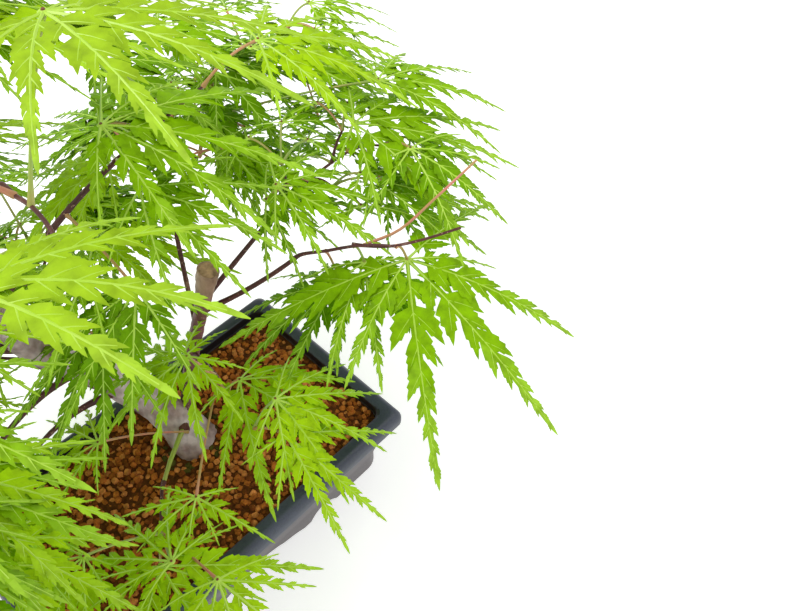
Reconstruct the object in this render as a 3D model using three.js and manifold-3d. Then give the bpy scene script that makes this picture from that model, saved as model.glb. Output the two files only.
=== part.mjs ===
// A small lace-leaf Japanese maple bonsai in a low rectangular pot.
// Units are millimetres and +Z is up. The pot's long side lies along X and its front faces -Y.
// Heights are counted from a level 35 mm under the pot's rim, and the ground lies a little lower.
import * as THREE from "three";
import { mergeVertices } from "three/addons/utils/BufferGeometryUtils.js";
import Module from "manifold-3d";

const wasm = await Module();
wasm.setup();

// Gap between pieces that touch on the real plant
const CLEAR = 0.3;

const GROUND = -6;

// Pot: its lip has a sloping shoulder, and its wall draws in below it to a wavy apron with feet
const POT = {
  length: 156,
  width: 94,
  rim: 35,
  rimWidth: 7,
  lipHeight: 9,
  lipRadius: 3,
  shoulderWidth: 2.6,
  shoulderDrop: 3.4,
  wallInset: 4.8,
  wallRadius: 6,
  footInset: 7.5,
  footRadius: 8,
  apronTop: 3,
  apronThickness: 5,
  floorUnder: 3,
  floorTop: 9,
  innerRadius: 5,
  innerTaper: 2.5,
};

// Soil: its flat crown lies under the trunk, and it falls a little towards the pot's walls
const SOIL = { top: 30, edgeDrop: 0.5, edgeWidth: 10 };

// Materials
const paint = (color, roughness) => new THREE.MeshStandardMaterial({ color, roughness, metalness: 0 });
const SLATE = paint(0x3d4550, 0.45);
const AKADAMA = paint(0x86542a, 0.95);
const BARK = paint(0x9c8a82, 0.85);
const YOUNG_BARK = paint(0x5e3030, 0.7);
const LEAF = paint(0x8cb81e, 0.6);

// Solids

function toSolid(geometry) {
  const bare = geometry.index ? geometry.clone() : geometry;
  bare.deleteAttribute("normal");
  bare.deleteAttribute("uv");
  const merged = mergeVertices(bare, 1e-5);
  return new wasm.Manifold(new wasm.Mesh({
    numProp: 3,
    vertProperties: new Float32Array(merged.attributes.position.array),
    triVerts: new Uint32Array(merged.index.array),
  }));
}

function toGeometry(solid) {
  const mesh = solid.getMesh();
  const geometry = new THREE.BufferGeometry();
  geometry.setAttribute("position", new THREE.BufferAttribute(mesh.vertProperties, 3));
  geometry.setIndex(new THREE.BufferAttribute(mesh.triVerts, 1));
  geometry.computeVertexNormals();
  return geometry;
}

// Slivers shorter than this are merged away once a piece is whole
const SLIVER = 0.02;
const join = (solids) => solids.reduce((whole, solid) => whole.add(solid).simplify(SLIVER));

// A closed skin over rings that all have the same number of points
function loft(rings) {
  const count = rings[0].length;
  const points = rings.flat();
  const faces = [];
  for (let ring = 0; ring + 1 < rings.length; ring += 1) {
    for (let i = 0; i < count; i += 1) {
      const a = ring * count + i;
      const b = ring * count + (i + 1) % count;
      faces.push(a, b, b + count, a, b + count, a + count);
    }
  }
  const last = (rings.length - 1) * count;
  for (let i = 1; i + 1 < count; i += 1) {
    faces.push(0, i + 1, i);
    faces.push(last, last + i, last + i + 1);
  }
  const geometry = new THREE.BufferGeometry().setFromPoints(points);
  geometry.setIndex(faces);
  return toSolid(geometry);
}

// Pot and soil

function roundedRectangle(length, width, radius, z, cornerSteps = 4) {
  const ring = [];
  for (let corner = 0; corner < 4; corner += 1) {
    const sideX = corner === 0 || corner === 3 ? 1 : -1;
    const sideY = corner < 2 ? 1 : -1;
    for (let step = 0; step <= cornerSteps; step += 1) {
      const angle = (corner + step / cornerSteps) * Math.PI / 2;
      ring.push(new THREE.Vector3(
        sideX * (length / 2 - radius) + radius * Math.cos(angle),
        sideY * (width / 2 - radius) + radius * Math.sin(angle),
        z,
      ));
    }
  }
  return ring;
}

const inset = (amount, radius, z) =>
  roundedRectangle(POT.length - 2 * amount, POT.width - 2 * amount, radius, z);

// The apron's lower edge, as its height above the ground at a share of the way from pot corner to middle
function apronHeight(share) {
  const waves = [
    { from: 0.30, to: 0.54, rise: 5.0 },
    { from: 0.62, to: 1.38, rise: 5.2 },
    { from: 0.80, to: 1.20, rise: 2.2 },
  ];
  return waves.reduce((height, { from, to, rise }) => {
    const place = (share - from) / (to - from);
    const inside = place > 0 && place < 1;
    return height + (inside ? rise * Math.sin(Math.PI * place) ** 0.7 : 0);
  }, 0);
}

// A wavy block that cuts the arches out of one side of the apron
function archCutter(side, span, depthFrom, depthTo) {
  const steps = 28;
  const outline = new THREE.Shape();
  outline.moveTo(-span / 2, GROUND - 1);
  for (let i = 0; i <= steps; i += 1) {
    const along = -1 + 2 * i / steps;
    outline.lineTo(along * span / 2, GROUND + apronHeight(1 - Math.abs(along)) - 0.02);
  }
  outline.lineTo(span / 2, GROUND - 1);
  const block = new THREE.ExtrudeGeometry(outline, { depth: depthTo - depthFrom, bevelEnabled: false });
  block.rotateX(Math.PI / 2);
  block.translate(0, -depthFrom, 0);
  block.rotateZ(side * Math.PI / 2);
  return toSolid(block);
}

function potSolid() {
  const { rim, lipRadius, shoulderWidth, wallInset, wallRadius, footInset, footRadius, apronThickness } = POT;
  const lipBottom = rim - POT.lipHeight;
  const body = loft([
    inset(footInset, footRadius, GROUND),
    inset(footInset, footRadius, POT.apronTop),
    inset(wallInset + 1.2, wallRadius + 1, POT.apronTop + 9),
    inset(wallInset, wallRadius, lipBottom - 1.5),
    inset(0.6, lipRadius, lipBottom),
    inset(0, lipRadius, lipBottom + 1.5),
    inset(0, lipRadius, rim - POT.shoulderDrop),
    inset(shoulderWidth * 0.35, lipRadius, rim - POT.shoulderDrop * 0.35),
    inset(shoulderWidth, lipRadius + 1, rim),
  ]);
  const hollow = loft([
    inset(POT.rimWidth + POT.innerTaper, POT.innerRadius, POT.floorTop),
    inset(POT.rimWidth, POT.innerRadius, rim - 4),
    inset(POT.rimWidth, POT.innerRadius, rim + 1),
  ]);
  const recess = loft([
    inset(footInset + apronThickness, footRadius - 3, GROUND - 1),
    inset(footInset + apronThickness, footRadius - 3, POT.floorUnder),
  ]);
  const reach = { long: POT.length / 2 - footInset, short: POT.width / 2 - footInset };
  let pot = body.subtract(hollow).subtract(recess);
  for (const side of [0, 2]) {
    pot = pot.subtract(archCutter(side, 2 * reach.long - 20, reach.short - apronThickness, reach.short + 4));
  }
  for (const side of [1, 3]) {
    pot = pot.subtract(archCutter(side, 2 * reach.short - 16, reach.long - apronThickness, reach.long + 4));
  }
  return pot;
}

function soilSolid() {
  const side = POT.rimWidth + CLEAR;
  return loft([
    inset(side + POT.innerTaper, POT.innerRadius, POT.floorTop + CLEAR),
    inset(side + 0.1, POT.innerRadius, SOIL.top - SOIL.edgeDrop),
    inset(side + SOIL.edgeWidth, POT.innerRadius, SOIL.top),
  ]);
}

// Limbs

const vector = (x, y, z) => new THREE.Vector3(x, y, z);
const radians = THREE.MathUtils.degToRad;

// A point that lies reach away from another along a compass heading, and higher by rise
function pointFrom(origin, heading, reach, rise) {
  const angle = radians(heading);
  return vector(origin.x + reach * Math.cos(angle), origin.y + reach * Math.sin(angle), origin.z + rise);
}

// Rings square to a path, whose radius may change along it and round it
function sweepRings(path, sides, radiusAt) {
  const rings = [];
  const across = vector(1, 0, 0);
  path.forEach((point, index) => {
    const before = path[Math.max(index - 1, 0)];
    const after = path[Math.min(index + 1, path.length - 1)];
    const forward = after.clone().sub(before).normalize();
    if (index === 0 && Math.abs(forward.x) > 0.8) across.set(0, 1, 0);
    across.addScaledVector(forward, -across.dot(forward)).normalize();
    const up = forward.clone().cross(across);
    const share = index / (path.length - 1);
    const ring = [];
    for (let side = 0; side < sides; side += 1) {
      const angle = side / sides * 2 * Math.PI;
      const radius = radiusAt(share, angle);
      ring.push(point.clone()
        .addScaledVector(across, radius * Math.cos(angle))
        .addScaledVector(up, radius * Math.sin(angle)));
    }
    rings.push(ring);
  });
  return rings;
}

const taper = (base, tip) => (share) => base + (tip - base) * share;

// The trunk leans to the left of the photograph and turns up into the crown
const TRUNK_LINE = new THREE.CatmullRomCurve3([
  vector(10.5, 7.5, SOIL.top - 8),
  vector(8.5, 15, 41),
  vector(5, 22, 53),
  vector(-6, 28, 77),
  vector(-20, 25, 110),
  vector(-26, 14, 148),
  vector(-24, 2, 184),
]);
// The second stem rises from the trunk's foot and ends in an old saw cut
const STEM_LINE = new THREE.CatmullRomCurve3([
  vector(6, 10, 38),
  vector(16, 15, 48),
  vector(21, 15, 62),
  vector(25, 12, 80),
  vector(29, 8, 97),
  vector(34, 1, 124),
]);

const TRUNK_FOOT = 9.9;
const TRUNK_TIP = 3.2;

// Trunk radius: a swollen foot with three blunt roots, then an even taper
function trunkRadius(share, angle) {
  const even = TRUNK_FOOT * 0.78 + (TRUNK_TIP - TRUNK_FOOT * 0.78) * share;
  const foot = Math.exp(-share * 12);
  const roots = 1 + 0.10 * foot * Math.cos(3 * angle + 0.6);
  const ripple = 1 + 0.03 * Math.sin(2 * angle + 9 * share);
  return (even + TRUNK_FOOT * 0.3 * foot) * roots * ripple;
}

// Second stem radius: it swells a little round the old cut at its top
const stemRadius = (share) => 3.1 - 0.9 * share + 1.6 * Math.max(0, share - 0.72) / 0.28;

const TRUNK_SIDES = 14;
const STEM_SIDES = 10;
const TRUNK_PATH = TRUNK_LINE.getSpacedPoints(20);
const STEM_PATH = STEM_LINE.getSpacedPoints(12);

// The two limbs that boughs grow from, a little fatter where grow is more than nothing
const PARENTS = {
  trunk: { line: TRUNK_LINE, path: TRUNK_PATH, sides: TRUNK_SIDES, radiusAt: trunkRadius },
  second_stem: { line: STEM_LINE, path: STEM_PATH, sides: STEM_SIDES, radiusAt: stemRadius },
};
function parentSolid(name, grow = 0) {
  const { path, sides, radiusAt } = PARENTS[name];
  return loft(sweepRings(path, sides, (share, angle) => radiusAt(share, angle) + grow));
}

// The trunk's foot is cut flat where it meets the soil
function trunkSolid() {
  const depth = 20;
  const below = new THREE.BoxGeometry(POT.width, POT.width, depth);
  below.translate(0, 0, SOIL.top + CLEAR - depth / 2);
  return parentSolid("trunk").subtract(toSolid(below));
}

// Boughs: each leaves its parent at a share of the parent's length, on a compass heading in degrees
const bough = (name, parent, sizes) => ({ name: `bough_${name}`, parent, ...sizes });
const BOUGHS = [
  bough("right_front", "second_stem",
    { share: 0.74, heading: -42, reach: 36, rise: 25, arch: -2, radius: 1.5 }),
  bough("right", "second_stem", { share: 0.8, heading: -8, reach: 38, rise: 26, arch: 0, radius: 1.3 }),
  bough("right_rear", "second_stem", { share: 0.62, heading: 58, reach: 38, rise: 34, arch: 3, radius: 1.3 }),
  bough("front_right", "second_stem",
    { share: 0.46, heading: -98, reach: 20, rise: 8, arch: 2, radius: 1.2 }),
  bough("front_low", "trunk", { share: 0.09, heading: 226, reach: 32, rise: 14, arch: 1, radius: 1.3 }),
  bough("left_low", "trunk", { share: 0.26, heading: 188, reach: 40, rise: 12, arch: 6, radius: 2.2 }),
  bough("rear_left", "trunk", { share: 0.34, heading: 128, reach: 28, rise: 8, arch: 5, radius: 2.1 }),
  bough("front_left", "trunk", { share: 0.4, heading: 208, reach: 44, rise: 18, arch: 5, radius: 2.1 }),
  bough("rear", "trunk", { share: 0.46, heading: 66, reach: 24, rise: 12, arch: 4, radius: 2 }),
  bough("left", "trunk", { share: 0.56, heading: 174, reach: 36, rise: 18, arch: 5, radius: 1.9 }),
  bough("front", "trunk", { share: 0.62, heading: 216, reach: 36, rise: 22, arch: 4, radius: 1.8 }),
  bough("rear_upper", "trunk", { share: 0.7, heading: 104, reach: 26, rise: 20, arch: 3, radius: 1.7 }),
  bough("upper_right", "trunk", { share: 0.76, heading: 2, reach: 50, rise: 24, arch: 3, radius: 1.7 }),
  bough("top_left", "trunk", { share: 0.86, heading: 206, reach: 30, rise: 26, arch: 3, radius: 1.5 }),
  bough("top_front", "trunk", { share: 0.93, heading: 292, reach: 26, rise: 34, arch: 2, radius: 1.5 }),
  bough("top_rear", "trunk", { share: 0.97, heading: 84, reach: 20, rise: 32, arch: 2, radius: 1.4 }),
];
const BOUGH_TIP_RADIUS = 0.95;

// A bough's path runs straight on its heading and arches up or down between its ends
function boughPath(bough) {
  const start = PARENTS[bough.parent].line.getPointAt(bough.share);
  const steps = 5;
  const path = [];
  for (let i = 0; i <= steps; i += 1) {
    const share = i / steps;
    const lift = bough.rise * share + bough.arch * 4 * share * (1 - share);
    path.push(pointFrom(start, bough.heading, bough.reach * share, lift));
  }
  return path;
}

function boughSolid(bough) {
  const rings = sweepRings(boughPath(bough), 6, taper(bough.radius, BOUGH_TIP_RADIUS));
  return loft(rings).subtract(parentSolid(bough.parent, CLEAR));
}

// Leaves: a palmate leaf has seven drooping lobes that meet at the top of its stalk
const LOBE_ANGLES = [-96, -62, -30, 0, 30, 62, 96];
const LOBE_SHARES = [0.55, 0.8, 0.98, 1, 0.98, 0.8, 0.55];
const LOBE_DROOP = 0.3;
const LOBE_WIDTH = 0.2;
const LOBE_THICKNESS = 1;
const HUB_RADIUS = 2;
const LOBE_ROOT = 0.4;
const STALK_RADIUS = 0.75;
const TWIG_RADIUS = 0.85;

// The same plain random rule is written again in scene.py
function seededRandom(seed) {
  let state = seed;
  return (low, high) => {
    state = (Math.imul(state, 1664525) + 1013904223) >>> 0;
    return low + (high - low) * state / 4294967296;
  };
}

// A leaf's own directions: ahead along its middle lobe, aside to its left, and square to both
function leafDirections(leaf) {
  const heading = radians(leaf.heading);
  const pitch = radians(leaf.pitch);
  const roll = radians(leaf.roll);
  const level = Math.cos(pitch);
  const ahead = vector(Math.cos(heading) * level, Math.sin(heading) * level, -Math.sin(pitch));
  const left = vector(-Math.sin(heading), Math.cos(heading), 0);
  const upright = ahead.clone().cross(left);
  const aside = left.multiplyScalar(Math.cos(roll)).addScaledVector(upright, Math.sin(roll));
  return { ahead, aside };
}

function lobeLine(leaf, index) {
  const { ahead, aside } = leafDirections(leaf);
  const angle = radians(LOBE_ANGLES[index]);
  const out = ahead.multiplyScalar(Math.cos(angle)).addScaledVector(aside, Math.sin(angle));
  const length = leaf.span * LOBE_SHARES[index];
  const at = (share) => leaf.centre.clone()
    .addScaledVector(out, length * share)
    .add(vector(0, 0, -length * LOBE_DROOP * share * share));
  return { out, length, at };
}

// A lobe is a bent kite with a keel on top: root, two wings, keel and tip
function lobeSolid(leaf, index) {
  const { out, length, at } = lobeLine(leaf, index);
  const root = leaf.centre.clone().addScaledVector(out, LOBE_ROOT);
  const middle = at(0.5);
  const tip = at(1);
  const side = tip.clone().sub(root).cross(vector(0, 0, 1)).normalize();
  const normal = side.clone().cross(tip.clone().sub(root)).normalize();
  const half = length * LOBE_WIDTH / 2 + 1;
  const points = [
    root,
    middle.clone().addScaledVector(side, half),
    middle.clone().addScaledVector(normal, LOBE_THICKNESS),
    middle.clone().addScaledVector(side, -half),
    tip,
  ];
  const faces = [];
  for (let i = 1; i <= 3; i += 1) {
    const next = i % 3 + 1;
    faces.push(0, i, next, 4, next, i);
  }
  const geometry = new THREE.BufferGeometry().setFromPoints(points);
  geometry.setIndex(faces);
  return toSolid(geometry);
}

const hubSolid = (centre) =>
  toSolid(new THREE.OctahedronGeometry(HUB_RADIUS).translate(centre.x, centre.y, centre.z));

// A stalk rises from its twig and bends over to the leaf
function stalkPath(leaf) {
  const middle = leaf.node.clone().lerp(leaf.centre, 0.5).add(vector(0, 0, leaf.stalkLift));
  return [leaf.node, middle, leaf.centre];
}

// Shoots: each mass grows on one shoot, which goes on from the tip of its bough
const mass = (name, sizes) => ({ name: `foliage_${name}`, bough: `bough_${name}`, placed: [], ...sizes });
const MASSES = [
  mass("right_front", {
    heading: -57, slope: 20, length: 34, pairs: 0, seed: 11,
    placed: [
      { x: 82, y: -44, z: 125, heading: 263, pitch: 6, roll: 2, span: 64 },
      { x: 69, y: -24, z: 108, heading: 165, pitch: 8, roll: 8, span: 42 },
    ],
  }),
  mass("right", {
    heading: -4, slope: 8, length: 34, pairs: 0, seed: 12,
    placed: [
      { x: 98, y: -4, z: 150, heading: 309, pitch: 4, roll: 2, span: 56 },
      { x: 99, y: -18, z: 126, heading: 350, pitch: 8, roll: -6, span: 42 },
      { x: 60, y: -1, z: 139, heading: 319, pitch: 8, roll: 7, span: 36 },
    ],
  }),
  mass("right_rear", {
    heading: 35, slope: 5, length: 34, pairs: 1, seed: 13,
    placed: [
      { x: 118, y: 4, z: 153, heading: 324, pitch: 5, roll: 0, span: 48 },
      { x: 71, y: 41, z: 120, heading: 300, pitch: 14, roll: -10, span: 34 },
      { x: 62, y: 66, z: 132, heading: 70, pitch: 12, roll: 0, span: 46 },
    ],
  }),
  mass("front_low", {
    heading: 235, slope: 8, length: 20, pairs: 0, seed: 15,
    placed: [
      { x: -33, y: -47, z: 77, heading: 262, pitch: 4, roll: -10, span: 46 },
      { x: -48, y: -24, z: 72, heading: 205, pitch: 6, roll: 0, span: 38 },
      { x: -22, y: 8, z: 72, heading: 135, pitch: 4, roll: 0, span: 32 },
    ],
  }),
  mass("front_right", {
    heading: -100, slope: 4, length: 28, pairs: 0, seed: 14,
    placed: [
      { x: 24, y: -19, z: 90, heading: 275, pitch: 2, roll: 8, span: 44 },
      { x: 19, y: -50, z: 96, heading: 287, pitch: 10, roll: -8, span: 42 },
      { x: -12, y: -39, z: 82, heading: 232, pitch: 2, roll: 0, span: 34 },
      { x: 12, y: -12, z: 110, heading: 208, pitch: -4, roll: 4, span: 36 },
    ],
  }),
  mass("top_front", {
    heading: 268, slope: 12, length: 28, pairs: 0, seed: 25,
    placed: [
      { x: -35, y: -56, z: 223, heading: 317, pitch: -12, roll: -14, span: 46 },
      { x: 4, y: -28, z: 242, heading: 296, pitch: -6, roll: -12, span: 50 },
      { x: -38, y: -18, z: 236, heading: 212, pitch: 6, roll: 0, span: 46 },
    ],
  }),
  mass("upper_right", {
    heading: 4, slope: 10, length: 34, pairs: 0, seed: 23,
    placed: [
      { x: 22, y: 13, z: 184, heading: 324, pitch: 7, roll: 3, span: 54 },
      { x: 76, y: 12, z: 185, heading: 342, pitch: 7, roll: 3, span: 50 },
    ],
  }),
  mass("left_low", { heading: 180, slope: 0, length: 32, pairs: 2, seed: 16 }),
  mass("rear_left", { heading: 132, slope: 2, length: 30, pairs: 2, seed: 17 }),
  mass("front_left", { heading: 194, slope: 4, length: 32, pairs: 2, seed: 18 }),
  mass("rear", { heading: 72, slope: 2, length: 26, pairs: 2, seed: 19 }),
  mass("left", { heading: 172, slope: 6, length: 32, pairs: 2, seed: 20 }),
  mass("front", { heading: 196, slope: 8, length: 26, pairs: 2, seed: 21 }),
  mass("rear_upper", { heading: 100, slope: 10, length: 28, pairs: 2, seed: 22 }),
  mass("top_left", { heading: 200, slope: 12, length: 28, pairs: 2, seed: 24 }),
  mass("top_rear", { heading: 70, slope: 6, length: 24, pairs: 1, seed: 26 }),
];

const boughNamed = (name) => BOUGHS.find((bough) => bough.name === name);

// The shoot starts square to the bough's flat tip and just clear of it, then turns to its own heading
function shootPath(mass) {
  const path = boughPath(boughNamed(mass.bough));
  const tip = path.at(-1);
  const forward = tip.clone().sub(path.at(-2)).normalize();
  const start = tip.clone().addScaledVector(forward, CLEAR);
  const collar = start.clone().addScaledVector(forward, 2);
  const steps = 4;
  const shoot = [start, collar];
  for (let i = 1; i <= steps; i += 1) {
    const reach = mass.length * i / steps;
    const rise = reach * Math.tan(radians(mass.slope));
    const ease = mass.length * 0.12 * Math.sin(Math.PI * i / steps);
    shoot.push(pointFrom(start, mass.heading, reach, rise).addScaledVector(forward, ease));
  }
  return shoot;
}

const nearestPoint = (path, place) =>
  path.slice(2).reduce((best, point) => (point.distanceTo(place) < best.distanceTo(place) ? point : best));

// Leaves that the photograph shows clearly stand where it shows them
function placedLeaves(mass, shoot) {
  return mass.placed.map((place) => {
    const centre = vector(place.x, place.y, place.z);
    return { ...place, centre, node: nearestPoint(shoot, centre), stalkLift: 3 };
  });
}

// The other leaves stand in opposite pairs along the shoot, with one at its end
function ruledLeaves(mass, shoot) {
  const random = seededRandom(mass.seed);
  const leaves = [];
  const addLeaf = (node, turn) => {
    const heading = mass.heading + turn + random(-12, 12);
    leaves.push({
      node,
      centre: pointFrom(node, heading, random(20, 28), random(4, 12)),
      heading: heading + random(-15, 15),
      pitch: random(6, 20),
      roll: random(-10, 10),
      span: random(42, 52),
      stalkLift: 3,
    });
  };
  for (let pair = 0; pair < mass.pairs; pair += 1) {
    const node = shoot[pair === 0 ? 2 : shoot.length - 2];
    addLeaf(node, 78 - 18 * pair);
    addLeaf(node, -78 + 18 * pair);
  }
  if (mass.pairs > 0) addLeaf(shoot.at(-1), 0);
  return leaves;
}

// Room: a lobe or stalk that would come too near to another mass or to a limb is left out
const SAMPLE_STEP = 2;
const KEEP_AWAY = 3;
const taken = new Map();
const cellOf = (point) => [point.x, point.y, point.z].map((value) => Math.floor(value / KEEP_AWAY));

function claimRoom(points, owner) {
  for (const point of points) {
    const key = cellOf(point).join();
    if (!taken.has(key)) taken.set(key, []);
    taken.get(key).push({ point, owner });
  }
}

function isFree(point, owner) {
  const isNear = (other) => other.owner !== owner && other.point.distanceTo(point) < KEEP_AWAY;
  const [i, j, k] = cellOf(point);
  for (let a = i - 1; a <= i + 1; a += 1) {
    for (let b = j - 1; b <= j + 1; b += 1) {
      for (let c = k - 1; c <= k + 1; c += 1) {
        if (taken.get([a, b, c].join())?.some(isNear)) return false;
      }
    }
  }
  return true;
}

const hasRoom = (points, owner) => points.every((point) => isFree(point, owner));

function samplesAlong(path, radius) {
  const samples = [];
  for (let i = 0; i + 1 < path.length; i += 1) {
    const steps = Math.ceil(path[i].distanceTo(path[i + 1]) / SAMPLE_STEP);
    for (let step = 0; step <= steps; step += 1) {
      samples.push(path[i].clone().lerp(path[i + 1], step / steps));
    }
  }
  if (radius <= STALK_RADIUS) return samples;
  const round = [vector(1, 0, 0), vector(0, 1, 0), vector(0, 0, 1)];
  return samples.flatMap((point) => [point, ...round.flatMap((way) => [
    point.clone().addScaledVector(way, radius),
    point.clone().addScaledVector(way, -radius),
  ])]);
}

function samplesOnLobe(leaf, index) {
  const { length, at } = lobeLine(leaf, index);
  const middle = at(0.5);
  const tip = at(1);
  const side = tip.clone().sub(leaf.centre).cross(vector(0, 0, 1)).normalize();
  const half = length * LOBE_WIDTH / 2 + 1;
  const samples = [];
  const steps = Math.ceil(length / SAMPLE_STEP);
  for (let step = 0; step <= steps; step += 1) {
    const share = step / steps;
    const spine = share < 0.5
      ? leaf.centre.clone().lerp(middle, share * 2)
      : middle.clone().lerp(tip, share * 2 - 1);
    const width = half * (1 - Math.abs(2 * share - 1));
    const rows = Math.ceil(width / SAMPLE_STEP);
    for (let row = -rows; row <= rows; row += 1) {
      samples.push(spine.clone().addScaledVector(side, rows ? width * row / rows : 0));
    }
  }
  return samples;
}

// A mass is its shoot with every leaf that has room, fused into one solid
function massSolid(mass, shoot) {
  const solids = [loft(sweepRings(shoot, 3, taper(TWIG_RADIUS, STALK_RADIUS)))];
  for (const leaf of [...placedLeaves(mass, shoot), ...ruledLeaves(mass, shoot)]) {
    const stalk = stalkPath(leaf);
    if (!hasRoom(samplesAlong(stalk, 0).slice(2), mass.name)) continue;
    const lobes = LOBE_ANGLES.map((_, index) => index)
      .filter((index) => hasRoom(samplesOnLobe(leaf, index), mass.name));
    if (lobes.length < 3) continue;
    claimRoom(samplesAlong(stalk, 0), mass.name);
    solids.push(loft(sweepRings(stalk, 3, () => STALK_RADIUS)), hubSolid(leaf.centre));
    for (const index of lobes) {
      claimRoom(samplesOnLobe(leaf, index), mass.name);
      solids.push(lobeSolid(leaf, index));
    }
  }
  return join(solids);
}

// Assembly

const plant = new THREE.Group();
const addPiece = (name, solid, material) => {
  const mesh = new THREE.Mesh(toGeometry(solid.simplify(SLIVER)), material);
  mesh.name = name;
  plant.add(mesh);
};

addPiece("pot", potSolid(), SLATE);
addPiece("soil", soilSolid(), AKADAMA);
addPiece("trunk", trunkSolid(), BARK);
addPiece("second_stem", parentSolid("second_stem").subtract(parentSolid("trunk", CLEAR)), YOUNG_BARK);
claimRoom(samplesAlong(TRUNK_PATH, 5), "limbs");
claimRoom(samplesAlong(STEM_PATH, 3), "limbs");
for (const bough of BOUGHS) {
  addPiece(bough.name, boughSolid(bough), YOUNG_BARK);
  claimRoom(samplesAlong(boughPath(bough).slice(0, -1), 1), "limbs");
}
const shoots = MASSES.map(shootPath);
MASSES.forEach((mass, index) => claimRoom(samplesAlong(shoots[index], 0), mass.name));
MASSES.forEach((mass, index) => addPiece(mass.name, massSolid(mass, shoots[index]), LEAF));

// The origin is on the ground under the middle of the whole part
const box = new THREE.Box3().setFromObject(plant, true);
const middle = box.getCenter(new THREE.Vector3());
plant.position.set(-middle.x, -middle.y, -box.min.z);

export default plant;
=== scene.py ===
"""The looks of a lace-leaf Japanese maple bonsai in a low slate-blue pot.

Named lengths are millimetres in the plant's own coordinates, as in the part's source: the origin lies under
the middle of the pot, 35 mm under its rim and a little above the ground, +X runs along the pot's long side
and the pot's front faces -Y.
"""
import math
import random
from collections import namedtuple
from itertools import product

import bmesh
import bpy
import numpy as np
from mathutils import Matrix, Vector, noise


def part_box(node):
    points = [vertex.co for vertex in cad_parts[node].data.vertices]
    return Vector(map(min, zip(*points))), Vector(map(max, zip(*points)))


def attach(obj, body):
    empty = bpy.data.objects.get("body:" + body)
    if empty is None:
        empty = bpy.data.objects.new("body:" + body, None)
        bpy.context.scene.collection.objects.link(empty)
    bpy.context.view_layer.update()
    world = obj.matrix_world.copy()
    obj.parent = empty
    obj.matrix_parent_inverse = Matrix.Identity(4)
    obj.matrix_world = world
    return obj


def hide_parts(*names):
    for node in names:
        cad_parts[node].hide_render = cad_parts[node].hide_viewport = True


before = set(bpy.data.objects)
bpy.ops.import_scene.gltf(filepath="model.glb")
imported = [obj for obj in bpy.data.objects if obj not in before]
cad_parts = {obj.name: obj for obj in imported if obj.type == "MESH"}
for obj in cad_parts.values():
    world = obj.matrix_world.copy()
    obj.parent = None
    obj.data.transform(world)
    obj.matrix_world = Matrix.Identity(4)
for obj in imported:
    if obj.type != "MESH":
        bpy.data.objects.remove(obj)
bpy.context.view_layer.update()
MM = 0.001
UP = np.array([0.0, 0.0, 1.0])
GROUND = -6.0


def pot_middle():
    """Where the plant's own origin lies in the row frame, in millimetres."""
    low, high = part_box("pot")
    return np.array([(low.x + high.x) / 2, (low.y + high.y) / 2, low.z]) / MM - UP * GROUND


SHIFT = pot_middle()

# Camera and studio

FRAME_WIDTH = 800
SENSOR_WIDTH = 36.0
FOCAL_PIXELS = 773.3
CAMERA_PLACE = (-43.52, -160.06, 317.34)
CAMERA_FORWARD = (0.72483, 0.68892)
CAMERA_DIP = math.radians(51.77)
NEAREST_SHOWN = 0.01

WHITE = (1.0, 1.0, 1.0, 1.0)
SKY_STRENGTH = 0.7
FLOOR_GREY = 0.88
FLOOR_GLOW = 0.45
FLOOR_HALF = 3.0

# Soft square lights in metres and watts: name, place, side and power
LIGHTS = (("key", (-0.5, 0.3, 1.1), 0.7, 9.0), ("fill", (0.7, -0.7, 0.9), 0.9, 3.0))
LIT_POINT = Vector((0.0, 0.0, 0.1))


def to_row(points):
    """Plant coordinates in millimetres as row coordinates in metres."""
    return (np.asarray(points, float) + SHIFT) * MM


def link_new(name, data):
    """Data as an object of the scene."""
    made = bpy.data.objects.new(name, data)
    bpy.context.scene.collection.objects.link(made)
    return made


def aim(item, direction):
    """A camera or a light looks along a direction."""
    item.rotation_euler = direction.to_track_quat("-Z", "Y").to_euler()


def add_camera():
    """The camera stands where the photograph was taken from."""
    data = bpy.data.cameras.new("camera")
    data.sensor_width = SENSOR_WIDTH
    data.lens = FOCAL_PIXELS * SENSOR_WIDTH / FRAME_WIDTH
    data.clip_start = NEAREST_SHOWN
    camera = link_new("camera", data)
    camera.location = to_row(CAMERA_PLACE)
    level = math.cos(CAMERA_DIP)
    aim(camera, Vector((CAMERA_FORWARD[0] * level, CAMERA_FORWARD[1] * level, -math.sin(CAMERA_DIP))))
    bpy.context.scene.camera = camera


def add_light(name, spot, side, power):
    """A soft square light that faces the plant."""
    data = bpy.data.lights.new(name, "AREA")
    data.size = side
    data.energy = power
    lamp = link_new(name, data)
    lamp.location = spot
    aim(lamp, LIT_POINT - Vector(spot))


def add_studio():
    """A pale floor under plain soft light."""
    world = bpy.data.worlds.new("studio")
    world.use_nodes = True
    background = world.node_tree.nodes["Background"].inputs
    background["Color"].default_value = WHITE
    background["Strength"].default_value = SKY_STRENGTH
    bpy.context.scene.world = world
    bpy.context.scene.view_settings.view_transform = "Standard"
    for light in LIGHTS:
        add_light(*light)
    mesh = bmesh.new()
    bmesh.ops.create_grid(mesh, x_segments=1, y_segments=1, size=FLOOR_HALF)
    floor = new_object("floor", mesh)
    paint = material("floor_white", grey(FLOOR_GREY), 0.8, 0.1)
    shader_inputs(paint)["Emission Color"].default_value = WHITE
    shader_inputs(paint)["Emission Strength"].default_value = FLOOR_GLOW
    floor.data.materials.append(paint)


# Objects

def new_object(name, mesh):
    """A bmesh as an object of the scene."""
    data = bpy.data.meshes.new(name)
    mesh.to_mesh(data)
    mesh.free()
    return link_new(name, data)


def finish_piece(piece, paint, nodes):
    """The piece gets its material and slot, and stands for CAD nodes of the one body."""
    piece.data.materials.append(paint)
    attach(piece, "root")
    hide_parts(*nodes)
    return piece


# Colours and patterns

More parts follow.
